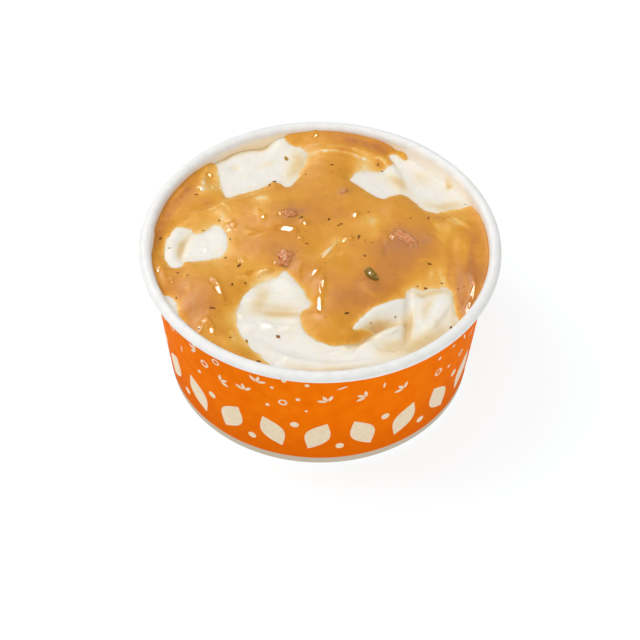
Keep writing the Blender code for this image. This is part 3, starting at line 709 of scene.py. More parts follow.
def mash_height(places):
    height = FILL_LEVEL + DOME_RISE * (1 - (places**2).sum(1) / wall_radius(FILL_LEVEL) ** 2)
    for place in MASH_SWELLS.values():
        height = height + swell(places, *place)
    for mark in SPOON_MARKS.values():
        height = height + stroke(places, *mark)
    return height


def round_grid(cells):
    """A flat round sheet of squares that just reaches the wall."""
    bm = bmesh.new()
    verts = disc_patch(bm, cells)
    bmesh.ops.scale(bm, vec=(food_radius(FILL_LEVEL),) * 3, verts=verts)
    return bm


def places_of(verts):
    return np.array([(v.co.x, v.co.y) for v in verts])


def set_height(vert, height, at_wall):
    """Lifts a point of the sheet, and holds it to the tapered wall if it is at the wall."""
    if at_wall:
        vert.co.xy *= food_radius(height) / vert.co.xy.length
    vert.co.z = height


def keep_values(bm, name, values):
    """Stores one value for each point, for the material to read."""
    layer = bm.verts.layers.float.new(name)
    for vert, value in zip(bm.verts, values):
        vert[layer] = value


mash = round_grid(MASH_CELLS)
mash_places = places_of(mash.verts)
mash_from_bare = distance_from_bare(mash_places)
bare = 1 / (1 + np.exp(mash_from_bare / 0.3))
mash_top = mash_height(mash_places)
mash_top += 0.6 * (tilt_facets(mash_places, mash_top, MOIST_SPOTS) - mash_top)
mash_top += bare * (0.16 * ripple(mash_places, 4.5, 1.0) + 0.07 * ripple(mash_places, 1.4, 2.0, 3))
soft = softness(mash_places)
stain = 0.14 * np.exp(-np.abs(mash_from_bare) / (0.5 + 1.1 * soft))
for strength, width, route in MASH_STAINS_AND_SHADE.values():
    stain += stroke(mash_places, strength, width, width, route)
stain += 0.1 * ripple(mash_places, 6.0, 3.0)
keep_values(mash, "stain", np.clip(stain, 0, 1))
keep_values(mash, "moist", np.clip(all_of(lump, mash_places, MOIST_SPOTS), 0, 1))
for vert, height in zip(mash.verts, mash_top):
    set_height(vert, height, vert.is_boundary)
mash_side = bmesh.ops.extrude_edge_only(mash, edges=[e for e in mash.edges if e.is_boundary])["geom"]
mash_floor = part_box("mash")[0].z / MM
for vert in (g for g in mash_side if isinstance(g, bmesh.types.BMVert)):
    set_height(vert, mash_floor, at_wall=True)
bmesh.ops.holes_fill(mash, edges=[e for e in mash.edges if e.is_boundary], sides=0)


def mashed_potato():
    """Buttery mashed potato: light goes a few millimetres in, so it is soft and creamy, with a moist sheen."""
    made, tree, shader = new_material("buttery_mashed_potato")
    place = add_node(tree, "TexCoord").outputs["Object"]
    stain_and_shade_level = add_node(tree, "Attribute", {"attribute_name": "stain"}).outputs["Fac"]
    clouds = add_node(tree, "TexNoise", Vector=place, Scale=1 / (3 * MM), Detail=4.0).outputs["Fac"]
    uneven = add_node(tree, "Math", {"operation": "MULTIPLY_ADD"}, _0=clouds, _1=0.22, _2=-0.1).outputs[0]
    tone = add_node(tree, "Math", {"operation": "ADD"}, _0=stain_and_shade_level, _1=uneven).outputs[0]
    # From cream to tan: gravy stain, and painted shade in the grooves, creases and ledges.
    shade = add_node(
        tree, "ValToRGB",
        {"stops": [(0.0, "#EFEBE3"), (0.25, "#EEE4CF"), (0.6, "#E5CDA0"), (1.0, "#DFBB82")]}, Fac=tone,
    )
    moist = add_node(tree, "Attribute", {"attribute_name": "moist"}).outputs["Fac"]
    grain = add_node(tree, "TexNoise", Vector=place, Scale=1 / (0.6 * MM), Detail=4.0).outputs["Fac"]
    bump = add_node(tree, "Bump", Height=grain, Strength=0.4, Distance=0.2 * MM)
    roughness = add_node(tree, "MapRange", Value=moist, From_Max=0.7, To_Min=0.55, To_Max=0.18).outputs[0]
    tree.links.new(shade.outputs["Color"], shader.inputs["Base Color"])
    tree.links.new(roughness, shader.inputs["Roughness"])
    tree.links.new(bump.outputs["Normal"], shader.inputs["Normal"])
    shader.inputs["IOR"].default_value = 1.4
    shader.inputs["Subsurface Weight"].default_value = 0.5
    shader.inputs["Subsurface Radius"].default_value = (1.0, 0.8, 0.5)
    shader.inputs["Subsurface Scale"].default_value = 1.6 * MM
    return made


finish_piece("mashed_potato", mash, "mash", ["mash"], [mashed_potato()], sharp=180)

# ---------------------------------------------------------------------------------------------------------
# The gravy. Ladled over the mash, it lies thick and brown where it pools and thin and yellow where it runs
# off the mash, and it rounds down to its edge round each bare patch.

GRAVY_CELLS = 316
GRAVY_DEPTH = 1.6
GRAVY_EDGE_WIDTH = (1.4, 3.6)
GRAVY_BOTTOM = 30.0
GRAVY_TONE = 0.6

# x, y, radius, rise
GRAVY_SWELLS = {
    "mound_at_the_left_of_middle": (-10, 9.5, 6, 0.75),
    "behind_the_mound": (1, 25, 6.5, 0.45),
    "tongue_head": (2.5, -25.5, 4.5, 0.9),
    "tongue_root": (5, -15.5, 5.5, 0.5),
    "left_pool": (-27.5, -15.5, 5, 0.7),
    "lower_left_pool": (-27, -25.5, 3.5, 0.5),
    "right_pool": (27, 2.5, 6, 0.3),
    "lobe_under_the_back_right": (19.5, 15, 4.5, 0.45),
    "heaped_at_the_right_wall": (38, -8.5, 5, 0.4),
    "dip_in_the_middle": (0, 0, 3.5, -0.5),
    "dip_beside_the_left_patch": (-20, -2.5, 4, -0.45),
    "dip_at_the_left": (-28, 11, 4.5, -0.35),
    "dip_below_the_crumb": (-14, -8.5, 3.5, -0.5),
    "dip_at_the_right": (30, -8, 4.5, -0.35),
    "dip_behind_the_pepper": (7, -4, 3, -0.3),
}

# rise, width on the left and on the right, route: folds in the skin and strands of onion under it
GRAVY_FOLDS = {
    "foot_of_the_mound": (-0.45, 0.8, 0.8, [(-18, 7), (-16, 5.5), (-13, 4.5), (-10, 5.5), (-7.5, 7), (-5.5, 8.5)]),
    "lip_before_the_mound": (0.5, 0.6, 1, [(-17.5, 5.5), (-14.5, 4), (-11, 4.5), (-8.5, 5), (-6.5, 4.5)]),
    "end_of_the_lip": (0.35, 0.5, 0.7, [(-7, 4.5), (-5.5, 3), (-4, 2.5)]),
    "left_pool_ridge": (0.35, 0.8, 1.5, [(-26, -11), (-25, -13.5), (-23.5, -16.5), (-22.5, -18.5)]),
    "left_pool_low_ridge": (0.15, 1, 1.6, [(-31.5, -12.5), (-32, -15), (-31.5, -17.5)]),
    "lower_left_fold": (0.5, 0.6, 1.1, [(-29, -28.5), (-28.5, -26), (-27.5, -24.5), (-26.5, -26), (-25, -28.5)]),
    "ridge_below_the_crumb": (0.45, 0.9, 0.7, [(-18, -8.5), (-15, -8), (-12, -7)]),
    "left_side_of_the_tongue": (0.75, 0.9, 1.6, [(1, -11), (0.5, -14.5), (0, -17.5), (0, -21)]),
    "streak_over_the_tongue": (0.4, 0.6, 0.8, [(-2, -10), (-1, -8.5), (0.5, -7.5)]),
    "pale_strand_in_the_middle": (0.45, 0.7, 0.9, [(-1, -4), (1, -2), (3.5, 1), (5, 3)]),
    "fold_at_the_left": (-0.3, 0.6, 0.7, [(-32.5, 13), (-29.5, 14.5), (-26, 16.5), (-22.5, 18)]),
    "strand_at_the_left": (0.35, 0.6, 0.7, [(-31, 12), (-28, 13.5), (-25, 16), (-23.5, 14)]),
    "edge_of_the_left_curl": (0.4, 0.7, 0.8, [(-35, 8), (-33.5, 9), (-31, 9)]),
    "beads_by_the_back_left": (0.45, 0.9, 0.8, [(-30.5, 20), (-30, 24), (-29, 29)]),
    "beads_by_the_back_left_too": (0.4, 0.7, 0.7, [(-26, 21.5), (-26.5, 25), (-27, 28)]),
    "back_strand": (0.4, 0.5, 0.6, [(-4, 35.5), (-1, 36), (3, 36.5), (7, 36), (11, 35)]),
    "back_strand_too": (0.35, 0.5, 0.5, [(-3.5, 34), (0, 35), (4, 34.5), (8, 34), (12, 33)]),
    "back_groove": (-0.35, 0.7, 0.7, [(-3, 38), (3, 38), (9, 38), (14.5, 36)]),
    "back_roll_at_the_wall": (0.35, 0.9, 0.9, [(1, 39.5), (8, 39.5), (14, 38), (19, 36.5)]),
    "ridge_at_the_back_right": (0.4, 0.6, 0.7, [(13, 34.5), (15.5, 34.5), (17, 32.5), (17.5, 31.5)]),
    "right_wall_fold": (0.6, 0.9, 0.8, [(37.5, -8.5), (38, -12.5), (37, -17.5), (35.5, -21)]),
    "right_wall_groove": (-0.12, 1, 1, [(33.5, 5), (33, -1), (33.5, -7), (34.5, -12.5)]),
    "right_inner_fold": (0.18, 1, 1, [(33, 12), (32, 6), (31, 0), (31.5, -6)]),
    "fold_beside_the_right_meat": (-0.12, 0.7, 0.7, [(16.5, -3), (15.5, 1.5), (15.5, 7)]),
    "strand_at_the_back_right_edge": (0.25, 0.7, 0.8, [(33, 14), (35, 11), (37.5, 9)]),
    "strand_at_the_back_right_edge_too": (0.18, 0.6, 0.7, [(31, 13), (33, 10), (35, 8.5)]),
    "wrinkle_at_the_right": (0.16, 0.8, 0.9, [(26, 5), (28.5, 3), (30.5, 0.5)]),
    "wrinkle_left_of_the_tongue": (0.3, 0.6, 0.7, [(-4.5, -5.5), (-5.5, -8), (-5, -11)]),
    "left_wall_fold": (0.35, 0.8, 0.9, [(-39, -5), (-38.5, -9.5), (-37.5, -13)]),
    "left_wall_fold_high": (0.3, 0.8, 0.9, [(-38.5, 13.5), (-36, 19), (-32.5, 24)]),
}

# x, y, length, width, turn in degrees, rise: lumps of onion and meat that lift the skin
GRAVY_LUMPS = {
    "left_of_the_mound": (-16, 12, 1.3, 0.9, 60, 0.5),
    "left_of_the_mound_low": (-14.5, 9.5, 1.5, 0.9, -20, 0.5),
    "right_of_the_mound": (-4, 8, 2.4, 0.8, -55, 0.45),
    "beside_the_peak": (-14, -11.5, 1.6, 0.8, 5, 0.45),
    "centre_drop": (6.5, 2.5, 1.3, 1, 60, 0.55),
    "centre_drop_small": (7.5, 3, 0.9, 0.7, 30, 0.4),
    "back_drop": (9, 11.5, 2, 0.8, 70, 0.5),
    "left_wall_drop": (-39.5, -7.5, 1.4, 0.8, 60, 0.35),
    "left_wall_drop_high": (-39.5, -1, 1.6, 0.7, -50, 0.35),
    "left_wall_drop_low": (-36.5, -11, 1.2, 0.7, 80, 0.35),
    "scatter_by_the_left_patch": (-23, 8.5, 2.6, 1.4, -20, 0.4),
    "onion_behind_the_pepper": (12.5, -13.5, 5, 2.6, -35, 0.65),
    "onion_at_the_right": (18.5, 12.5, 5.5, 3.6, 0, 0.3),
    "onion_at_the_left": (-14, 17, 4.5, 2, -20, 0.4),
    "onion_at_the_far_left": (-25.5, 11, 4.5, 1.8, 70, 0.35),
    "onion_in_the_middle": (11.5, 8, 5.5, 2.6, 75, 0.35),
    "onion_beside_the_meat": (32, 8, 4, 1.8, -50, 0.4),
    "onion_by_the_right_wall": (35, 3, 6, 1.6, 80, 0.35),
    "crumb_in_the_back": (6, 19.5, 2.6, 1.6, 30, 0.4),
    "drop_at_the_back": (-2, 41.5, 1.6, 0.9, 0, 0.4),
    "drop_near_the_right_meat": (15.5, 4.5, 2.4, 1, 40, 0.3),
}

# x, y, radius, change of tone: below 0 the gravy is thinner and paler, above 0 browner
GRAVY_TONES = {
    "brown_centre": (-1, 12, 6.5, 0.12),
    "brown_right": (20.5, 1, 7, 0.28),
    "brown_below_the_meat": (17, -6.5, 6, 0.22),
    "brown_behind_the_pepper": (13, -14, 5, 0.26),
    "brown_tongue_root": (6.5, -17.5, 5, 0.24),
    "brown_at_the_right_wall": (37.5, -8.5, 5, 0.36),
    "brown_at_the_right_wall_low": (35, -18.5, 3.6, 0.32),
    "brown_at_the_right_wall_high": (38, 5.5, 5, 0.16),
    "brown_left": (-35, -14.5, 5, 0.2),
    "brown_lower_left": (-31.5, -21.5, 5, 0.26),
    "brown_left_pool": (-26.5, -18.5, 4, 0.1),
    "brown_at_the_back": (8, 40, 7, 0.2),
    "brown_at_the_back_right": (16, 37, 3, 0.16),
    "brown_left_wall": (-38.5, 14.5, 4.6, 0.2),
    "brown_left_wall_high": (-33.5, 22.5, 3.4, 0.26),
    "brown_left_wall_middle": (-40.5, 3, 3.6, 0.26),
    "brown_fold_at_the_left": (-29, 16, 2.2, 0.14),
    "brown_round_the_crumb": (-12, 0, 5.5, 0.14),
    "brown_behind_the_front_peak": (-4, -9.5, 3.4, 0.24),
    "brown_back_lobe": (15.5, 31, 2.4, 0.14),
    "pale_left": (-32.5, 11, 3.6, -0.12),
    "pale_far_left": (-36.5, 9, 3, -0.12),
    "pale_left_streak": (-24.5, 11.5, 2.8, -0.24),
    "pale_strand_at_the_left": (-27.5, 13, 2, -0.2),
    "pale_round_the_left_patch": (-29.5, 7.5, 3, -0.2),
    "pale_below_the_left_patch": (-31, -7, 4.4, -0.1),
    "pale_onion_left": (-14, 17, 3, -0.28),
    "pale_beside_the_mound": (-15.5, 12, 2.6, -0.2),
    "pale_left_low": (-25.5, -6, 4, -0.18),
    "pale_beside_the_fleck": (-19.5, -4.5, 2.8, -0.16),
    "pale_below_the_crumb": (-15, -9, 4, -0.24),
    "pale_beside_the_peak": (-12.5, -10, 2.6, -0.3),
    "pale_strand_in_the_middle": (1.5, -2, 1.9, -0.32),
    "pale_strand_end": (4, 2, 1.8, -0.24),
    "pale_middle_right": (12.5, 9, 3, -0.34),
    "pale_middle_right_low": (13.5, 4, 2, -0.14),
    "pale_middle": (6.5, 7, 2.8, -0.12),
    "pale_beside_the_right_meat": (32, 7.5, 3, -0.26),
    "pale_by_the_right_wall": (34.5, 2.5, 2.2, -0.22),
    "pale_right_of_the_fleck": (29.5, -6, 2.6, -0.2),
    "pale_above_the_front_right": (24.5, -10.5, 3.2, -0.18),
    "pale_above_the_front_right_too": (31, -9.5, 2.4, -0.18),
    "pale_back_strand": (2, 35.5, 2.8, -0.34),
    "pale_back_strand_right": (9, 34.5, 2.6, -0.26),
    "pale_back_right": (11, 31, 3.4, -0.4),
    "pale_back_left_side": (-2.5, 34.5, 3, -0.26),
    "pale_before_the_chunk": (-29, 21.5, 3.4, -0.4),
    "pale_before_the_chunk_high": (-29, 28, 2.2, -0.3),
    "pale_corner_of_the_chunk": (-24.5, 17.5, 2, -0.2),
    "pale_lower_left": (-21.5, -24, 2.6, -0.3),
    "pale_lower_left_low": (-17.5, -31, 2.8, -0.2),
    "pale_at_the_front_wall": (-22, -31.5, 2.4, -0.2),
    "pale_edge_of_the_right": (36, 11.5, 2.6, -0.2),
}

# change of tone, width, route: strands of onion just under the skin are paler, and the folds between are browner; the
# pale crescents at the back right also paint highlight lines along a ridge
GRAVY_STREAKS = {
    "back_strand": (-0.4, 0.5, [(-4, 34.4), (-1, 34.5), (3, 34.9), (7, 34.2), (11, 32.9), (12.8, 32.2)]),
    "under_the_back_strand": (0.14, 0.5, [(-2.5, 33.3), (3, 33.8), (8, 33.1)]),
    "over_the_back_strand": (0.18, 0.5, [(-2.6, 35.3), (1, 36), (6, 35.3), (9, 34.4)]),
    "back_strand_high": (-0.32, 0.35, [(-4.8, 36.8), (-3.4, 37.6), (0.4, 37.9)]),
    "back_band": (-0.34, 0.8, [(2, 36.9), (5, 36.9), (9, 35.8), (12.4, 34.5)]),
    "back_line": (0.16, 0.5, [(3, 37.9), (8, 36.8), (12.8, 35.2)]),
    "back_roll": (0.3, 0.8, [(5, 39.6), (10, 38.4), (14, 36.9), (18.4, 34.6)]),
    # Partly strands, partly painted highlight: pale lines along a ridge of the skin where it catches the light.
    "crescent": (-0.65, 0.45, [(13.2, 33.5), (14.6, 33.3), (16, 32.2), (17.2, 30.4)]),
    "crescent_too": (-0.6, 0.4, [(15.8, 34), (17.4, 33.9), (18.6, 32.9)]),
    "brown_lobe": (0.25, 0.6, [(14, 32.2), (15.2, 30.4), (16.2, 28.6)]),
    "sliver_at_the_back_right": (0.3, 0.35, [(19, 34), (20.6, 32), (21.8, 29.8)]),
    "strand_at_the_right": (-0.4, 0.65, [(33, 12), (35, 9.9), (37.4, 7.8)]),
    "strand_at_the_right_too": (-0.3, 0.6, [(31.8, 11.4), (33.6, 9.4), (35.4, 8.8)]),
    "brown_nick": (0.2, 0.45, [(29.4, 13), (30.2, 11.4), (31, 9.8)]),
    "pale_nick": (-0.24, 0.8, [(27.2, 11.6), (28.6, 10), (29.2, 8), (30, 5.6)]),
    "onion_edge": (-0.24, 0.65, [(28, 5.4), (29.6, 4.4), (31.4, 1.8)]),
    "edge_of_the_sheet": (-0.24, 0.8, [(36.8, 5.6), (36.4, 1.4), (36, -3), (35.6, -6)]),
    "brown_by_the_sheet": (0.28, 1.0, [(37.8, 5.4), (37.6, 0), (37.2, -5), (37.6, -10)]),
    "middle_of_the_sheet": (-0.2, 1.2, [(33.4, 1.5), (34, -2.5)]),
    "brown_inner_edge": (0.3, 0.5, [(31.8, -5), (31.6, -9), (32.8, -13.6)]),
    "pale_drip": (-0.3, 0.9, [(29.4, -6), (30.2, -9), (30.4, -11.6)]),
    "pale_drip_at_the_left": (-0.25, 0.8, [(27.4, -6.6), (27.4, -10)]),
    "dash": (-0.3, 0.35, [(24, -4.6), (26.4, -3.6)]),
    "lens": (-0.22, 0.4, [(35, -8), (35.9, -10), (36, -12)]),
    "brown_right_low": (0.26, 1.2, [(34.4, -9), (34, -14), (34.6, -19)]),
    "rim_of_the_onion": (-0.2, 0.7, [(10.4, -12.2), (11.4, -15), (13.6, -16.6), (15.4, -15.4)]),
    "brown_over_the_onion": (0.2, 0.4, [(10.6, -10.6), (12.6, -11.4), (15, -12.8)]),
    "strand_in_the_middle": (-0.5, 0.5, [(-0.8, -4.6), (1.4, -2.2), (3.6, 0.8), (5, 2.2)]),
    "stub_in_the_middle": (-0.35, 0.5, [(4.4, -3), (5.6, -1.4)]),
    "pale_up_the_middle": (-0.2, 1.2, [(13.4, 4), (13.2, 8), (12.4, 11)]),
    "brown_by_the_right_meat": (0.24, 0.6, [(15.6, -3), (16, 0), (17, 2)]),
    "onion_strand": (-0.4, 0.35, [(-29.4, 12.7), (-27, 13.6), (-25.2, 15.2), (-23.6, 14.6), (-23, 12.2)]),
    "top_of_the_onion_strand": (-0.35, 0.3, [(-27.8, 14.6), (-25.8, 16.2), (-22.6, 16)]),
    "brown_in_the_strand": (0.35, 0.6, [(-31, 12.9), (-29, 13.3), (-27, 14.8)]),
    "pale_down_the_left": (-0.25, 1.1, [(-25.2, 13), (-24.6, 9.4), (-24, 6)]),
    "edge_of_the_chunk": (-0.4, 0.5, [(-23.6, 17.2), (-21, 18), (-17, 19.8), (-14, 21.6)]),
    "blotch": (-0.25, 0.9, [(-17.4, 16.8), (-15.4, 17.2), (-13.4, 16.2)]),
    "blotch_low": (-0.25, 0.5, [(-16.6, 13.6), (-16.2, 11)]),
    "strand_of_beads": (-0.55, 0.6, [(-30.2, 26), (-30, 22.5), (-30.4, 18.6)]),
    "brown_by_the_wall": (0.3, 0.8, [(-31.8, 24.5), (-34, 20), (-36, 16.5)]),
    "brown_by_the_wall_low": (0.25, 1.2, [(-38, 14), (-39.6, 8), (-40, 3)]),
    "pale_by_the_wall": (-0.2, 0.6, [(-34.4, 15.4), (-36.6, 12)]),
    "piece_at_the_lower_left": (-0.2, 0.7, [(-32.4, -13.4), (-33, -16.4), (-34.6, -19.6)]),
    "brown_by_the_piece": (0.2, 0.4, [(-34.6, -17.2), (-35, -19.4)]),
    "bits_by_the_fleck": (-0.3, 0.7, [(-20.4, -10.6), (-18.6, -10.2), (-17.4, -11.4)]),
    "pale_at_the_lower_left": (-0.3, 0.7, [(-22, -27), (-21, -28.6), (-20.4, -31)]),
    "pale_below_the_patch": (-0.3, 0.4, [(-33, -8.6), (-33.6, -11.4)]),
}

# x, y, radius, strength: where clear yellow fat has gathered
GRAVY_OIL = {
    "back_spot": (8, 14.5, 2.2, 0.9),
    "middle": (5.5, -5, 4.2, 0.8),
    "front_of_the_mound": (-15.5, 7, 2.6, 0.9),
    "left_fold": (-31.5, 14.5, 2.4, 0.9),
    "tongue_head": (3.5, -27.5, 4.2, 0.9),
    "tongue_side": (-2.5, -24.5, 2.2, 0.5),
    "middle_left": (-1, 2, 3, 0.6),
    "behind_the_front_peak": (-4, -8.5, 2.6, 0.9),
    "left_wall": (-32.5, 23, 2.6, 0.9),
    "back_left": (-3.5, 38, 3, 0.8),
    "right_of_middle": (12, -4.5, 3, 0.5),
    "middle_back": (9, 9, 2.4, 0.6),
    "low_left": (-20.5, -17.5, 3.4, 0.6),
    "front_left": (-17.5, -34, 2.4, 0.6),
    "below_the_left_patch": (-27, -7, 3.4, 0.4),
}

# x, y, radius, strength: where meat just under the skin clouds the gravy
MEAT_HAZE = {
    "left_bit": (-7.5, 11.5, 3.2, 0.8),
    "left_bit_tail": (-4.5, 12, 1.8, 0.4),
    "crumb": (-8.5, -3, 3.4, 0.7),
    "crumb_low": (-8, -5, 1.8, 0.6),
    "right_bit": (20.5, 4, 3, 0.8),
    "right_bit_low": (22.5, 1, 2.8, 0.8),
    "right_bit_tail": (26, 3, 2.4, 0.65),
    "right_bit_left_tail": (17.5, 0.5, 2.2, 0.55),
    "small_bit": (6, 19.5, 1.7, 0.7),
    "onion_behind_the_pepper": (12.5, -13.5, 2.4, 0.3),
}

# x, y, length, width, turn in degrees, smoothness: wet facets, mirror-smooth at 1 and beaded towards 0
GLINTS = {
    "before_the_mound": (-8.4, 5.4, 5.4, 1.3, -14, 1.0),
    "left_of_the_lip": (-14.6, 4.2, 6.0, 0.45, 4, 0.85),
    "right_of_the_lip": (-5.2, 2.7, 2.6, 0.45, -48, 0.8),
    "drop_left_of_the_mound": (-15.8, 11.4, 1.2, 0.5, -60, 0.9),
    "drop_left_of_the_mound_low": (-14.4, 9.2, 1.4, 0.55, -20, 1.0),
    "left_of_the_left_bit": (-10.3, 10.4, 2.0, 0.6, 80, 0.8),
    "behind_the_left_bit": (-8.4, 11.8, 1.8, 0.5, 0, 0.7),
    "right_of_the_mound": (-4, 7.4, 2.4, 0.5, -60, 0.9),
    "by_the_back_left": (-28.6, 26.6, 1.6, 0.8, 0, 0.9),
    "by_the_back_left_right": (-26.6, 26.8, 1.0, 0.5, 0, 0.7),
    "by_the_back_left_middle": (-27.6, 24.0, 1.2, 0.6, 0, 0.8),
    "by_the_back_left_low": (-27.8, 22.0, 1.4, 0.6, 0, 0.9),
    "by_the_back_left_low_right": (-25.7, 22.6, 1.2, 0.5, -30, 0.8),
    "by_the_back_left_wall": (-30.2, 24.5, 1.1, 0.5, -45, 0.8),
    "by_the_back_left_wall_low": (-30.8, 20.8, 2.4, 0.5, 100, 0.6),
    "left_curl": (-33, 6.4, 3.8, 0.7, 32, 0.3),
    "right_of_the_left_patch": (-22.9, 7.6, 3.2, 1.2, -10, 0.2),
    "left_pool": (-25, -15.2, 7.0, 0.7, -62, 0.9),
    "left_pool_high": (-26.4, -12.4, 3.0, 0.9, -70, 0.1),
    "lower_left": (-28.7, -27.9, 3.4, 0.4, 86, 0.8),
    "lower_left_top": (-28, -25.8, 2.0, 0.5, 0, 0.7),
    "lower_left_right_limb": (-26, -28.5, 3.6, 0.6, -65, 0.9),
    "below_the_crumb": (-15, -8.2, 6.4, 0.7, 14, 0.5),
    "beside_the_peak": (-13.9, -11.7, 1.8, 0.6, 5, 1.0),
    "above_the_tongue": (0.7, -13.4, 4.6, 0.5, 85, 0.9),
    "tongue": (-0.1, -19.6, 6.0, 0.7, 92, 0.95),
    "over_the_tongue": (-1.2, -9, 3.0, 0.5, 45, 0.9),
    "middle": (1.2, -2.8, 3.8, 0.5, 50, 0.5),
    "centre": (5.9, 2.0, 1.4, 0.8, 70, 1.0),
    "centre_right": (7.4, 2.7, 1.1, 0.5, 40, 0.9),
    "centre_left": (3.7, 2.1, 0.9, 0.5, 0, 0.7),
    "back_drop": (8.7, 10.9, 1.8, 0.5, 75, 1.0),
    "crumb_low": (-11.3, -5.4, 1.2, 0.6, 30, 0.8),
    "right_bit": (17.8, 3.5, 2.0, 0.9, -50, 0.2),
    "right_bit_low": (22.4, 1.0, 2.4, 0.8, -30, 0.2),
    "right_wall": (37.6, -14.4, 6.4, 0.55, 80, 0.85),
    "right_wall_low": (36.5, -19.4, 4.0, 0.55, 76, 0.7),
    "left_wall": (-39.8, -8.2, 1.3, 0.5, 50, 0.9),
    "left_wall_low": (-36.4, -12.1, 1.3, 0.5, 75, 0.8),
    "left_wall_high": (-39.3, -3, 1.8, 0.45, -55, 0.8),
    "beside_the_fleck": (-19.6, -4.6, 2.0, 1.2, -60, 0.1),
    "back": (-1.7, 40.4, 1.3, 0.6, 0, 0.9),
    "back_right": (35.4, 7.2, 1.0, 0.5, -30, 0.8),
    "onion_at_the_right": (35.2, 4.6, 1.0, 0.5, 0, 0.7),
}


def streaks(places):
    """Change of tone by the strands and folds, which come and go along their length."""
    whole = sum(stroke(places, change, width, width, route) for change, width, route in GRAVY_STREAKS.values())
    return whole * np.clip(0.8 + 0.7 * ripple(places, 1.5, 12.0), 0, 1.3)


def gravy_depth(places, from_bare):
    """Depth of the gravy over the mash: it rounds down to nothing at an outline, and dips under beyond it."""
    soft = softness(places)
    inward = np.clip(from_bare, 1e-6, EDGE_REACH)
    inward = inward**2 / (inward + 1.5 * soft)
    crisp, faded = GRAVY_EDGE_WIDTH
    body = (GRAVY_DEPTH + all_of(swell, places, GRAVY_SWELLS)) * (1 - np.exp(-inward / (crisp + faded * soft)))
    relief = all_of(stroke, places, GRAVY_FOLDS) + all_of(lump, places, GRAVY_LUMPS) - 0.05 * streaks(places)
    return body + relief * (1 - np.exp(-inward / 0.9)) + 0.7 * np.clip(from_bare, -1, 0)


def gravy_tone(places, from_bare):
    """0 is the thinnest pale film, 1 the deepest brown."""
    edge = np.exp(-np.clip(from_bare, 0, None) / (0.4 + 1.3 * softness(places)))
    tone = (GRAVY_TONE + all_of(swell, places, GRAVY_TONES) + streaks(places)) * (1 - 0.95 * edge)
    return np.clip(tone + 0.08 * ripple(places, 5.0, 7.0, 3), 0, 1)


def gravy_top(places):
    """Height of the gravy's skin, for what floats in it."""
    return mash_height(places) + gravy_depth(places, distance_from_bare(places))


gravy = round_grid(GRAVY_CELLS)
gravy_places = places_of(gravy.verts)
from_bare = distance_from_bare(gravy_places)
over = mash_height(gravy_places) + gravy_depth(gravy_places, from_bare)
over += np.clip(from_bare, 0, 1) * (0.08 * ripple(gravy_places, 5.5, 4.0) + 0.04 * ripple(gravy_places, 1.7, 5.0))
to_wall = food_radius(FILL_LEVEL) - np.hypot(*gravy_places.T)
over += np.clip(from_bare, 0, 1) * 0.4 * np.exp(-to_wall / 0.7)
over = tilt_facets(gravy_places, over, GLINTS)
keep_values(gravy, "tone", gravy_tone(gravy_places, from_bare))
keep_values(gravy, "oil", np.clip(all_of(swell, gravy_places, GRAVY_OIL), 0, 1))
wettest = [lump(gravy_places, *row[:5], 1) for row in GLINTS.values()]
beaded = [window * (1.1 - row[5]) for window, row in zip(wettest, GLINTS.values())]
keep_values(gravy, "wet", np.clip(sum(wettest), 0, 1))
keep_values(gravy, "beads", np.clip(sum(beaded), 0, 1))
keep_values(gravy, "haze", np.clip(all_of(swell, gravy_places, MEAT_HAZE), 0, 1))
wet = {vert: gap for vert, gap in zip(gravy.verts, from_bare)}
for vert, height, on_edge in zip(gravy.verts, over, [v.is_boundary for v in gravy.verts]):
    set_height(vert, height, on_edge)
dry = [f for f in gravy.faces if max(wet[v] for v in f.verts) < -0.5]
bmesh.ops.delete(gravy, geom=dry, context="FACES")
gravy_side = bmesh.ops.extrude_edge_only(gravy, edges=[e for e in gravy.edges if e.is_boundary])["geom"]
for vert in (g for g in gravy_side if isinstance(g, bmesh.types.BMVert)):
    outward = vert.co.xy.length
    set_height(vert, GRAVY_BOTTOM, outward > food_radius(FILL_LEVEL - 3))
bmesh.ops.triangle_fill(gravy, use_beauty=True, edges=[e for e in gravy.edges if e.is_boundary])


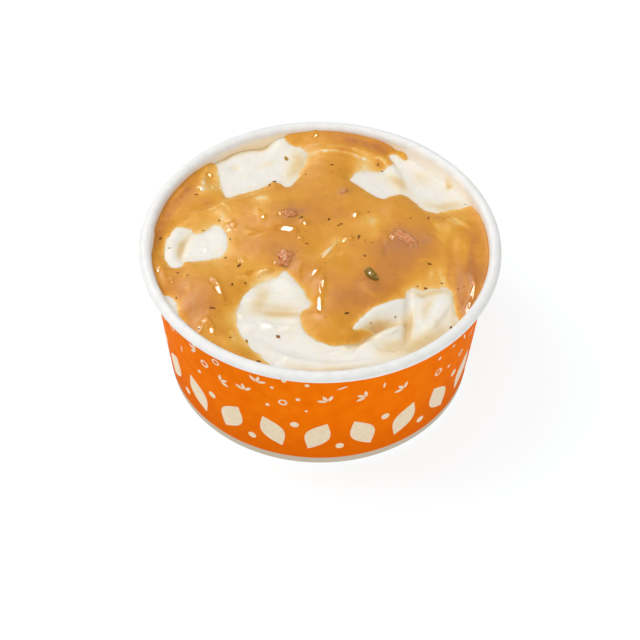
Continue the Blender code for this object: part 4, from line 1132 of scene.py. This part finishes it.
def brown_gravy():
    """Starch-thickened stock gravy: a glossy skin over a cloudy body, yellow where thin and brown where deep."""
    made, tree, shader = new_material("thickened_brown_gravy")
    place = add_node(tree, "TexCoord").outputs["Object"]
    tone = add_node(tree, "Attribute", {"attribute_name": "tone"}).outputs["Fac"]
    oil = add_node(tree, "Attribute", {"attribute_name": "oil"}).outputs["Fac"]
    haze = add_node(tree, "Attribute", {"attribute_name": "haze"}).outputs["Fac"]
    wettest = add_node(tree, "Attribute", {"attribute_name": "wet"}).outputs["Fac"]
    beaded = add_node(tree, "Attribute", {"attribute_name": "beads"}).outputs["Fac"]
    clouds = add_node(tree, "TexNoise", Vector=place, Scale=1 / (3.2 * MM), Detail=5.0, Roughness=0.6, Distortion=0.6)
    uneven = add_node(tree, "Math", {"operation": "MULTIPLY_ADD"}, _0=clouds.outputs["Fac"], _1=0.34, _2=-0.17)
    mottled = add_node(tree, "Math", {"operation": "ADD"}, _0=tone, _1=uneven.outputs[0]).outputs[0]
    body = add_node(
        tree, "ValToRGB",
        {"stops": [
            (0.0, "#F1E4CC"), (0.12, "#EFC982"), (0.28, "#ECB455"), (0.45, "#E6A43A"),
            (0.6, "#DE9932"), (0.78, "#D38B36"), (1.0, "#C27B39"),
        ]},
        Fac=mottled,
    ).outputs["Color"]
    patches = add_node(tree, "TexNoise", Vector=place, Scale=1 / (1.6 * MM), Detail=3.0).outputs["Fac"]
    grains = add_node(tree, "ValToRGB", {"stops": [(0.35, 0.35), (0.65, 1.0)]}, Fac=patches).outputs["Color"]
    fatty = add_node(tree, "Math", {"operation": "MULTIPLY"}, _0=oil, _1=grains).outputs[0]
    meaty = add_node(tree, "Math", {"operation": "MULTIPLY"}, _0=haze, _1=grains).outputs[0]
    with_fat = add_node(tree, "Mix", {"data_type": "RGBA"}, _0=fatty, _6=body, _7=linear("#DB9519")).outputs[2]
    with_meat = add_node(tree, "Mix", {"data_type": "RGBA"}, _0=meaty, _6=with_fat, _7=linear("#BE8056")).outputs[2]
    beads = add_node(tree, "TexNoise", Vector=place, Scale=1 / (0.55 * MM), Detail=2.0).outputs["Fac"]
    rise = add_node(tree, "Math", {"operation": "SUBTRACT"}, _0=beads, _1=0.5).outputs[0]
    beading = add_node(tree, "Math", {"operation": "MULTIPLY"}, _0=rise, _1=beaded).outputs[0]
    bump = add_node(tree, "Bump", Height=beading, Strength=1.0, Distance=0.35 * MM)
    roughness = add_node(tree, "MapRange", Value=wettest, From_Max=0.4, To_Min=0.5, To_Max=0.1).outputs[0]
    tree.links.new(with_meat, shader.inputs["Base Color"])
    tree.links.new(roughness, shader.inputs["Roughness"])
    tree.links.new(bump.outputs["Normal"], shader.inputs["Normal"])
    shader.inputs["IOR"].default_value = 1.42
    shader.inputs["Subsurface Weight"].default_value = 0.35
    shader.inputs["Subsurface Radius"].default_value = (1.0, 0.6, 0.25)
    shader.inputs["Subsurface Scale"].default_value = 1.2 * MM
    return made


finish_piece("brown_gravy", gravy, "gravy", ["gravy"], [brown_gravy()], sharp=180)

# ---------------------------------------------------------------------------------------------------------
# The sausage bits. Crumbled cooked meat, half sunk in the gravy and coated with it.

# x, y, length, width, depth, turn in degrees, rise of the middle over the gravy
MEAT_BITS = {
    "sausage_bit_left": (-7.6, 10.4, 4.8, 3.4, 2.2, 20, -0.55),
    "sausage_crumb": (-8.6, -3.4, 5.4, 4.4, 2.4, 70, -0.55),
    "sausage_bit_right": (21.2, 3.4, 8.8, 3.2, 2.2, -42, -0.4),
    "small_bit": (5.8, 19.6, 2.2, 1.5, 1.2, 35, -0.25),
}


def crumbled_bit(x, y, length, width, depth, turn, rise, seed):
    """A lump of meat with a crumbly, pitted surface, and for each point how deep it is in the gravy."""
    bm = bmesh.new()
    bmesh.ops.create_icosphere(bm, subdivisions=5, radius=1)
    for vert in bm.verts:
        out = vert.co.normalized()
        rough = 1 + 0.36 * noise.fractal(out * 1.3 + Vector((seed, 0, 0)), 1.0, 2.0, 2)
        rough += 0.14 * noise.fractal(out * 4.5 + Vector((0, seed, 0)), 0.8, 2.0, 4)
        vert.co = Vector((out.x * length / 2, out.y * width / 2, out.z * depth / 2)) * rough
    surface = float(gravy_top(np.array([(x, y)], float))[0])
    placed = Matrix.Translation((x, y, surface + rise)) @ Matrix.Rotation(math.radians(turn), 4, "Z")
    bmesh.ops.transform(bm, matrix=placed, verts=bm.verts)
    tops = gravy_top(places_of(bm.verts))
    keep_values(bm, "bare", np.clip([(v.co.z - top) / 1.0 for v, top in zip(bm.verts, tops)], 0, 1))
    return bm


def glazed_meat():
    """Cooked crumbled meat under gravy: pink to red-brown where it stands out, and gravy-coloured below."""
    made, tree, shader = new_material("glazed_crumbled_meat")
    place = add_node(tree, "TexCoord").outputs["Object"]
    bare_share = add_node(tree, "Attribute", {"attribute_name": "bare"}).outputs["Fac"]
    grains = add_node(tree, "TexNoise", Vector=place, Scale=1 / (0.9 * MM), Detail=4.0, Roughness=0.65).outputs["Fac"]
    shade = add_node(
        tree, "ValToRGB",
        {"stops": [(0.3, "#C87046"), (0.44, "#D6885A"), (0.56, "#DEA276"), (0.7, "#EED0B0")]}, Fac=grains,
    ).outputs["Color"]
    uneven = add_node(tree, "Math", {"operation": "MULTIPLY_ADD"}, _0=grains, _1=1.2, _2=-0.6).outputs[0]
    shown = add_node(tree, "Math", {"operation": "ADD", "use_clamp": True}, _0=bare_share, _1=uneven).outputs[0]
    colour = add_node(tree, "Mix", {"data_type": "RGBA"}, _0=shown, _6=linear("#CF8648"), _7=shade).outputs[2]
    bump = add_node(tree, "Bump", Height=grains, Strength=0.45, Distance=0.3 * MM)
    tree.links.new(colour, shader.inputs["Base Color"])
    tree.links.new(bump.outputs["Normal"], shader.inputs["Normal"])
    shader.inputs["Roughness"].default_value = 0.14
    shader.inputs["IOR"].default_value = 1.4
    shader.inputs["Subsurface Weight"].default_value = 0.4
    shader.inputs["Subsurface Radius"].default_value = (1.0, 0.45, 0.3)
    shader.inputs["Subsurface Scale"].default_value = 1.2 * MM
    return made


meat = glazed_meat()
for seed, (name, sizes) in enumerate(MEAT_BITS.items()):
    nodes = [name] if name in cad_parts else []
    finish_piece(name + "_crumbled", crumbled_bit(*sizes, 3.7 * seed), "meat", nodes, [meat], sharp=180)

# ---------------------------------------------------------------------------------------------------------
# The green pepper. A short cut strip lies on edge in the gravy: dark skin mottled with olive.

PEPPER_PLACE = (12.7, -9.7)
PEPPER_SIZE = (4.6, 2.1, 1.9)
PEPPER_TURN = -56
PEPPER_BEND = 0.45


def pepper_strip():
    noise.seed_set(4)
    bm = bmesh.new()
    bmesh.ops.create_cube(bm, size=1)
    bmesh.ops.bevel(
        bm, geom=bm.edges[:], offset=0.3, offset_type="OFFSET", segments=4, affect="EDGES", profile=0.5, material=-1
    )
    bmesh.ops.subdivide_edges(bm, edges=bm.edges[:], cuts=2, use_grid_fill=True)
    for _ in range(3):
        bmesh.ops.smooth_vert(bm, verts=bm.verts, factor=0.5, use_axis_x=True, use_axis_y=True, use_axis_z=True)
    for vert in bm.verts:
        x, y, z = vert.co
        narrow = 1 - 0.35 * max(0.0, x) - 0.15 * x
        bent = PEPPER_BEND * (4 * x * x - 0.5)
        vert.co = Vector((
            x * PEPPER_SIZE[0], y * PEPPER_SIZE[1] * narrow + 0.5 * bent, z * PEPPER_SIZE[2] * narrow - 0.4 * bent
        ))
        vert.co += 0.12 * noise.noise_vector(vert.co * 1.3)
    surface = float(gravy_top(np.array([PEPPER_PLACE], float))[0])
    placed = Matrix.Translation((*PEPPER_PLACE, surface + 0.15)) @ Matrix.Rotation(math.radians(PEPPER_TURN), 4, "Z")
    bmesh.ops.transform(bm, matrix=placed, verts=bm.verts)
    cut = Vector((PEPPER_PLACE[0] - 0.9, PEPPER_PLACE[1] + 1.4, surface + 0.75))
    slope = lit_slope(*cut.xy)
    bmesh.ops.bisect_plane(
        bm, geom=bm.verts[:] + bm.edges[:] + bm.faces[:], plane_co=cut, plane_no=(-slope[0], -slope[1], 1),
        clear_outer=True,
    )
    bmesh.ops.holes_fill(bm, edges=[e for e in bm.edges if e.is_boundary], sides=0)
    return bm


def green_pepper():
    """Cooked green pepper: waxy dark green skin that fades to olive, and very glossy under the gravy."""
    made, tree, shader = new_material("cooked_green_pepper")
    place = add_node(tree, "TexCoord").outputs["Object"]
    patches = add_node(tree, "TexNoise", Vector=place, Scale=1 / (1.4 * MM), Detail=3.0).outputs["Fac"]
    shade = add_node(
        tree, "ValToRGB", {"stops": [(0.3, "#62501A"), (0.5, "#8A6C24"), (0.72, "#B08C44")]}, Fac=patches
    )
    wrinkles = add_node(tree, "TexNoise", Vector=place, Scale=1 / (0.8 * MM), Detail=2.0).outputs["Fac"]
    bump = add_node(tree, "Bump", Height=wrinkles, Strength=0.3, Distance=0.1 * MM)
    tree.links.new(shade.outputs["Color"], shader.inputs["Base Color"])
    tree.links.new(bump.outputs["Normal"], shader.inputs["Normal"])
    shader.inputs["Roughness"].default_value = 0.14
    shader.inputs["IOR"].default_value = 1.45
    return made


finish_piece("green_pepper_strip", pepper_strip(), "pepper", ["green_pepper_bit"], [green_pepper()], sharp=180)

# ---------------------------------------------------------------------------------------------------------
# The flecks. Cracked black pepper, brown husk and dried herb, stirred into the gravy and lying in its skin.

# x, y, length, turn in degrees
PEPPER_FLECKS = [
    (-31.5, 18.5, 1.3, 10), (-40, 4, 1.3, 60), (2.5, 29.5, 1.1, 10), (14.5, 31.5, 1.0, 60),
    (-5, 9.5, 1.2, 50), (2, 9.5, 1.2, 70), (-20, -6.5, 1.7, 60), (-21.5, -13, 1.1, 80),
    (-18.5, -12, 0.9, 30), (-23.5, -3, 0.9, 50), (27, -5, 1.3, -20), (6.5, -22.5, 1.5, 20),
    (9.5, 3.5, 1.4, 75), (-14.5, -37, 1.4, 10), (-29, -28, 1.0, -50), (-21.5, -30, 0.8, 0),
    (32, -24.5, 1.1, 60), (4.5, 7.5, 0.9, 0), (31, 11.5, 0.8, 0), (12, 12.5, 0.7, 0),
    (-12, 25, 1.3, 20), (-25.5, 10, 0.8, 60), (-32.5, -10, 0.7, 0), (-22.5, 3, 0.9, 70),
]
BROWN_FLECKS = [
    (-13, 22.5, 1.2, -60), (11, -3, 1.1, -55), (26, -12, 1.1, 0), (-26, -21, 1.7, 0),
    (-10, -28.5, 1.4, -55), (1.5, -24.5, 0.6, 0), (18.5, -21.5, 0.7, 90), (12.5, -24.5, 0.6, 60),
    (24, -11.5, 0.7, 0), (22.5, 10.5, 0.7, 30), (13, 1.5, 0.7, 0), (36.5, 18.5, 0.6, 0),
    (15.5, 29.5, 0.8, 0), (-3.5, 1, 1.0, 0), (27, 11, 1.4, 80), (30, -10.5, 1.0, 0),
    (2.5, 27, 0.6, 0), (-4, 26.5, 0.8, 60), (-35, -16.5, 1.0, 60), (-35, -9, 0.9, 0),
    (-29.5, 7, 0.8, 0), (34, -12.5, 0.7, 40), (35.5, -12, 0.7, 0), (5, 8, 1.2, 0),
    (9.5, 3, 1.4, 70),
]
HERB_FLECKS = [
    (-17.5, -30.5, 1.5, 85), (-9, 33, 2.8, -68), (-37.5, 0.5, 0.9, 20),
]
FLECK_WIDTH = 0.85
DUST_COUNT = 120


def fleck(bm, x, y, length, turn, rng, height):
    """A thin angular flake that lies in the surface, tilted a little."""
    made = bmesh.ops.create_icosphere(bm, subdivisions=2, radius=0.5)["verts"]
    width = min(length * rng.uniform(0.42, 0.62), FLECK_WIDTH)
    for vert in made:
        rough = 1 + 0.35 * noise.noise(vert.co * 3.1 + Vector((x, y, 0)))
        vert.co = Vector((vert.co.x * length, vert.co.y * width, vert.co.z * 0.34)) * rough
    tilt = Matrix.Rotation(rng.uniform(-0.2, 0.2), 4, "X") @ Matrix.Rotation(rng.uniform(-0.2, 0.2), 4, "Y")
    placed = Matrix.Translation((x, y, height - 0.05)) @ Matrix.Rotation(math.radians(turn), 4, "Z") @ tilt
    bmesh.ops.transform(bm, matrix=placed, verts=made)


def food_top(places):
    """Height of what lies on top: gravy, or bare mash."""
    return mash_height(places) + np.clip(gravy_depth(places, distance_from_bare(places)), 0, None)


def fleck_material(name, dark, light):
    made, tree, shader = new_material(name)
    place = add_node(tree, "TexCoord").outputs["Object"]
    mottle = add_node(tree, "TexNoise", Vector=place, Scale=1 / (0.5 * MM), Detail=2.0).outputs["Fac"]
    shade = add_node(tree, "ValToRGB", {"stops": [(0.35, dark), (0.65, light)]}, Fac=mottle)
    tree.links.new(shade.outputs["Color"], shader.inputs["Base Color"])
    shader.inputs["Roughness"].default_value = 0.5
    shader.inputs["Specular IOR Level"].default_value = 0.12
    return made


def scatter_dust(count, rng):
    """Places for the finest specks, all over the gravy."""
    places = []
    while len(places) < count:
        x, y = rng.uniform(-40, 40), rng.uniform(-40, 40)
        if math.hypot(x, y) < 39.5:
            places.append((x, y, rng.uniform(0.22, 0.42), rng.uniform(0, 180)))
    far = distance_from_bare(np.array([(x, y) for x, y, _, _ in places]))
    return [place for place, gap in zip(places, far) if gap > 0.6]


rng = random.Random(11)
dust = scatter_dust(DUST_COUNT, rng)
FLECK_KINDS = {
    "cracked_pepper_flecks": (PEPPER_FLECKS + dust[::3], "pepper", "#70400E", "#986020"),
    "brown_husk_flecks": (BROWN_FLECKS + dust[1::3] + dust[2::3], "meat", "#8A5220", "#A86A28"),
    "dried_herb_flecks": (HERB_FLECKS, "pepper", "#96741C", "#C0922C"),
}
for name, (flecks, slot, dark, light) in FLECK_KINDS.items():
    bm = bmesh.new()
    tops = food_top(np.array([(x, y) for x, y, _, _ in flecks], float))
    for (x, y, length, turn), height in zip(flecks, tops):
        fleck(bm, x, y, length, turn, rng, height)
    finish_piece(name, bm, slot, (), [fleck_material(name + "_skin", dark, light)], sharp=180)

# ---------------------------------------------------------------------------------------------------------
# The studio: a white floor, a soft key light at the left, a small softbox at the back left that only shows
# in wet surfaces, soft fills from the front, the right and above, and a long lens that looks down on the cup.

CAMERA_DISTANCE = 0.7
CAMERA_ELEVATION = math.radians(46.44)
CAMERA_DIP = math.radians(0.449)
CAMERA_ROLL = math.radians(0.908)
CAMERA_SIDE = math.radians(0.022)
CAMERA_LENS = 155.4
AIM_HEIGHT = 0.02


def studio_floor():
    made, tree, shader = new_material("white_studio_floor")
    shader.inputs["Base Color"].default_value = linear("#828B8E")
    shader.inputs["Roughness"].default_value = 0.9
    shader.inputs["Specular IOR Level"].default_value = 0
    shader.inputs["Emission Color"].default_value = (1, 1, 1, 1)
    shader.inputs["Emission Strength"].default_value = 0.8
    return made


bm = bmesh.new()
bmesh.ops.create_grid(bm, x_segments=4, y_segments=4, size=6)
bmesh.ops.translate(bm, vec=(0, 0, -0.0001), verts=bm.verts)
floor_mesh = bpy.data.meshes.new("studio_floor")
bm.to_mesh(floor_mesh)
bm.free()
floor_mesh.materials.append(studio_floor())
floor = bpy.data.objects.new("studio_floor", floor_mesh)
bpy.context.scene.collection.objects.link(floor)
floor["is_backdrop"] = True

# name: place, size, power, colour
LIGHTS = {
    "soft_key_from_the_left": ((-0.85, 0.25, 1.3), 0.8, 11.6, "#FFFFFF"),
    "softbox_for_the_gloss": ((-0.62, 0.82, 0.9), 0.26, 10.0, "#FFFFFF"),
    "fill_from_the_front": ((-0.2, -1.4, 1.1), 1.2, 5.9, "#FFFFFF"),
    "fill_from_the_right": ((1.2, -0.5, 0.9), 0.9, 3.0, "#FFFFFF"),
    "fill_from_above": ((0.0, -0.1, 1.8), 1.4, 6.1, "#FFFFFF"),
}
for name, (place, size, power, colour) in LIGHTS.items():
    light = bpy.data.lights.new(name, "AREA")
    light.shape = "SQUARE"
    light.size = size
    light.energy = power
    light.color = linear(colour)[:3]
    lamp = bpy.data.objects.new(name, light)
    lamp.location = place
    lamp.visible_diffuse = name != "softbox_for_the_gloss"
    lamp.visible_glossy = name == "softbox_for_the_gloss" or name == "fill_from_above"
    lamp.rotation_euler = (Vector((0, 0, 0.03)) - lamp.location).to_track_quat("-Z", "Y").to_euler()
    bpy.context.scene.collection.objects.link(lamp)

world = bpy.data.worlds.new("studio_surround")
world.use_nodes = True
world.node_tree.nodes["Background"].inputs["Color"].default_value = linear("#FFFFFF")
world.node_tree.nodes["Background"].inputs["Strength"].default_value = 0.3
bpy.context.scene.world = world
bpy.context.scene.view_settings.view_transform = "Standard"

camera = bpy.data.objects.new("camera", bpy.data.cameras.new("camera"))
camera.data.lens = CAMERA_LENS
camera.data.sensor_width = 36
camera.location = (
    0, -CAMERA_DISTANCE * math.cos(CAMERA_ELEVATION), AIM_HEIGHT + CAMERA_DISTANCE * math.sin(CAMERA_ELEVATION)
)
down = math.pi / 2 - CAMERA_ELEVATION - CAMERA_DIP
turned = Matrix.Rotation(-CAMERA_SIDE, 4, "Z") @ Matrix.Rotation(down, 4, "X") @ Matrix.Rotation(CAMERA_ROLL, 4, "Z")
camera.rotation_euler = turned.to_euler()
bpy.context.scene.collection.objects.link(camera)
bpy.context.scene.camera = camera

scene_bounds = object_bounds()
sizes = {"cad": [list(corner) for corner in cad_bounds], "scene": [list(corner) for corner in scene_bounds]}
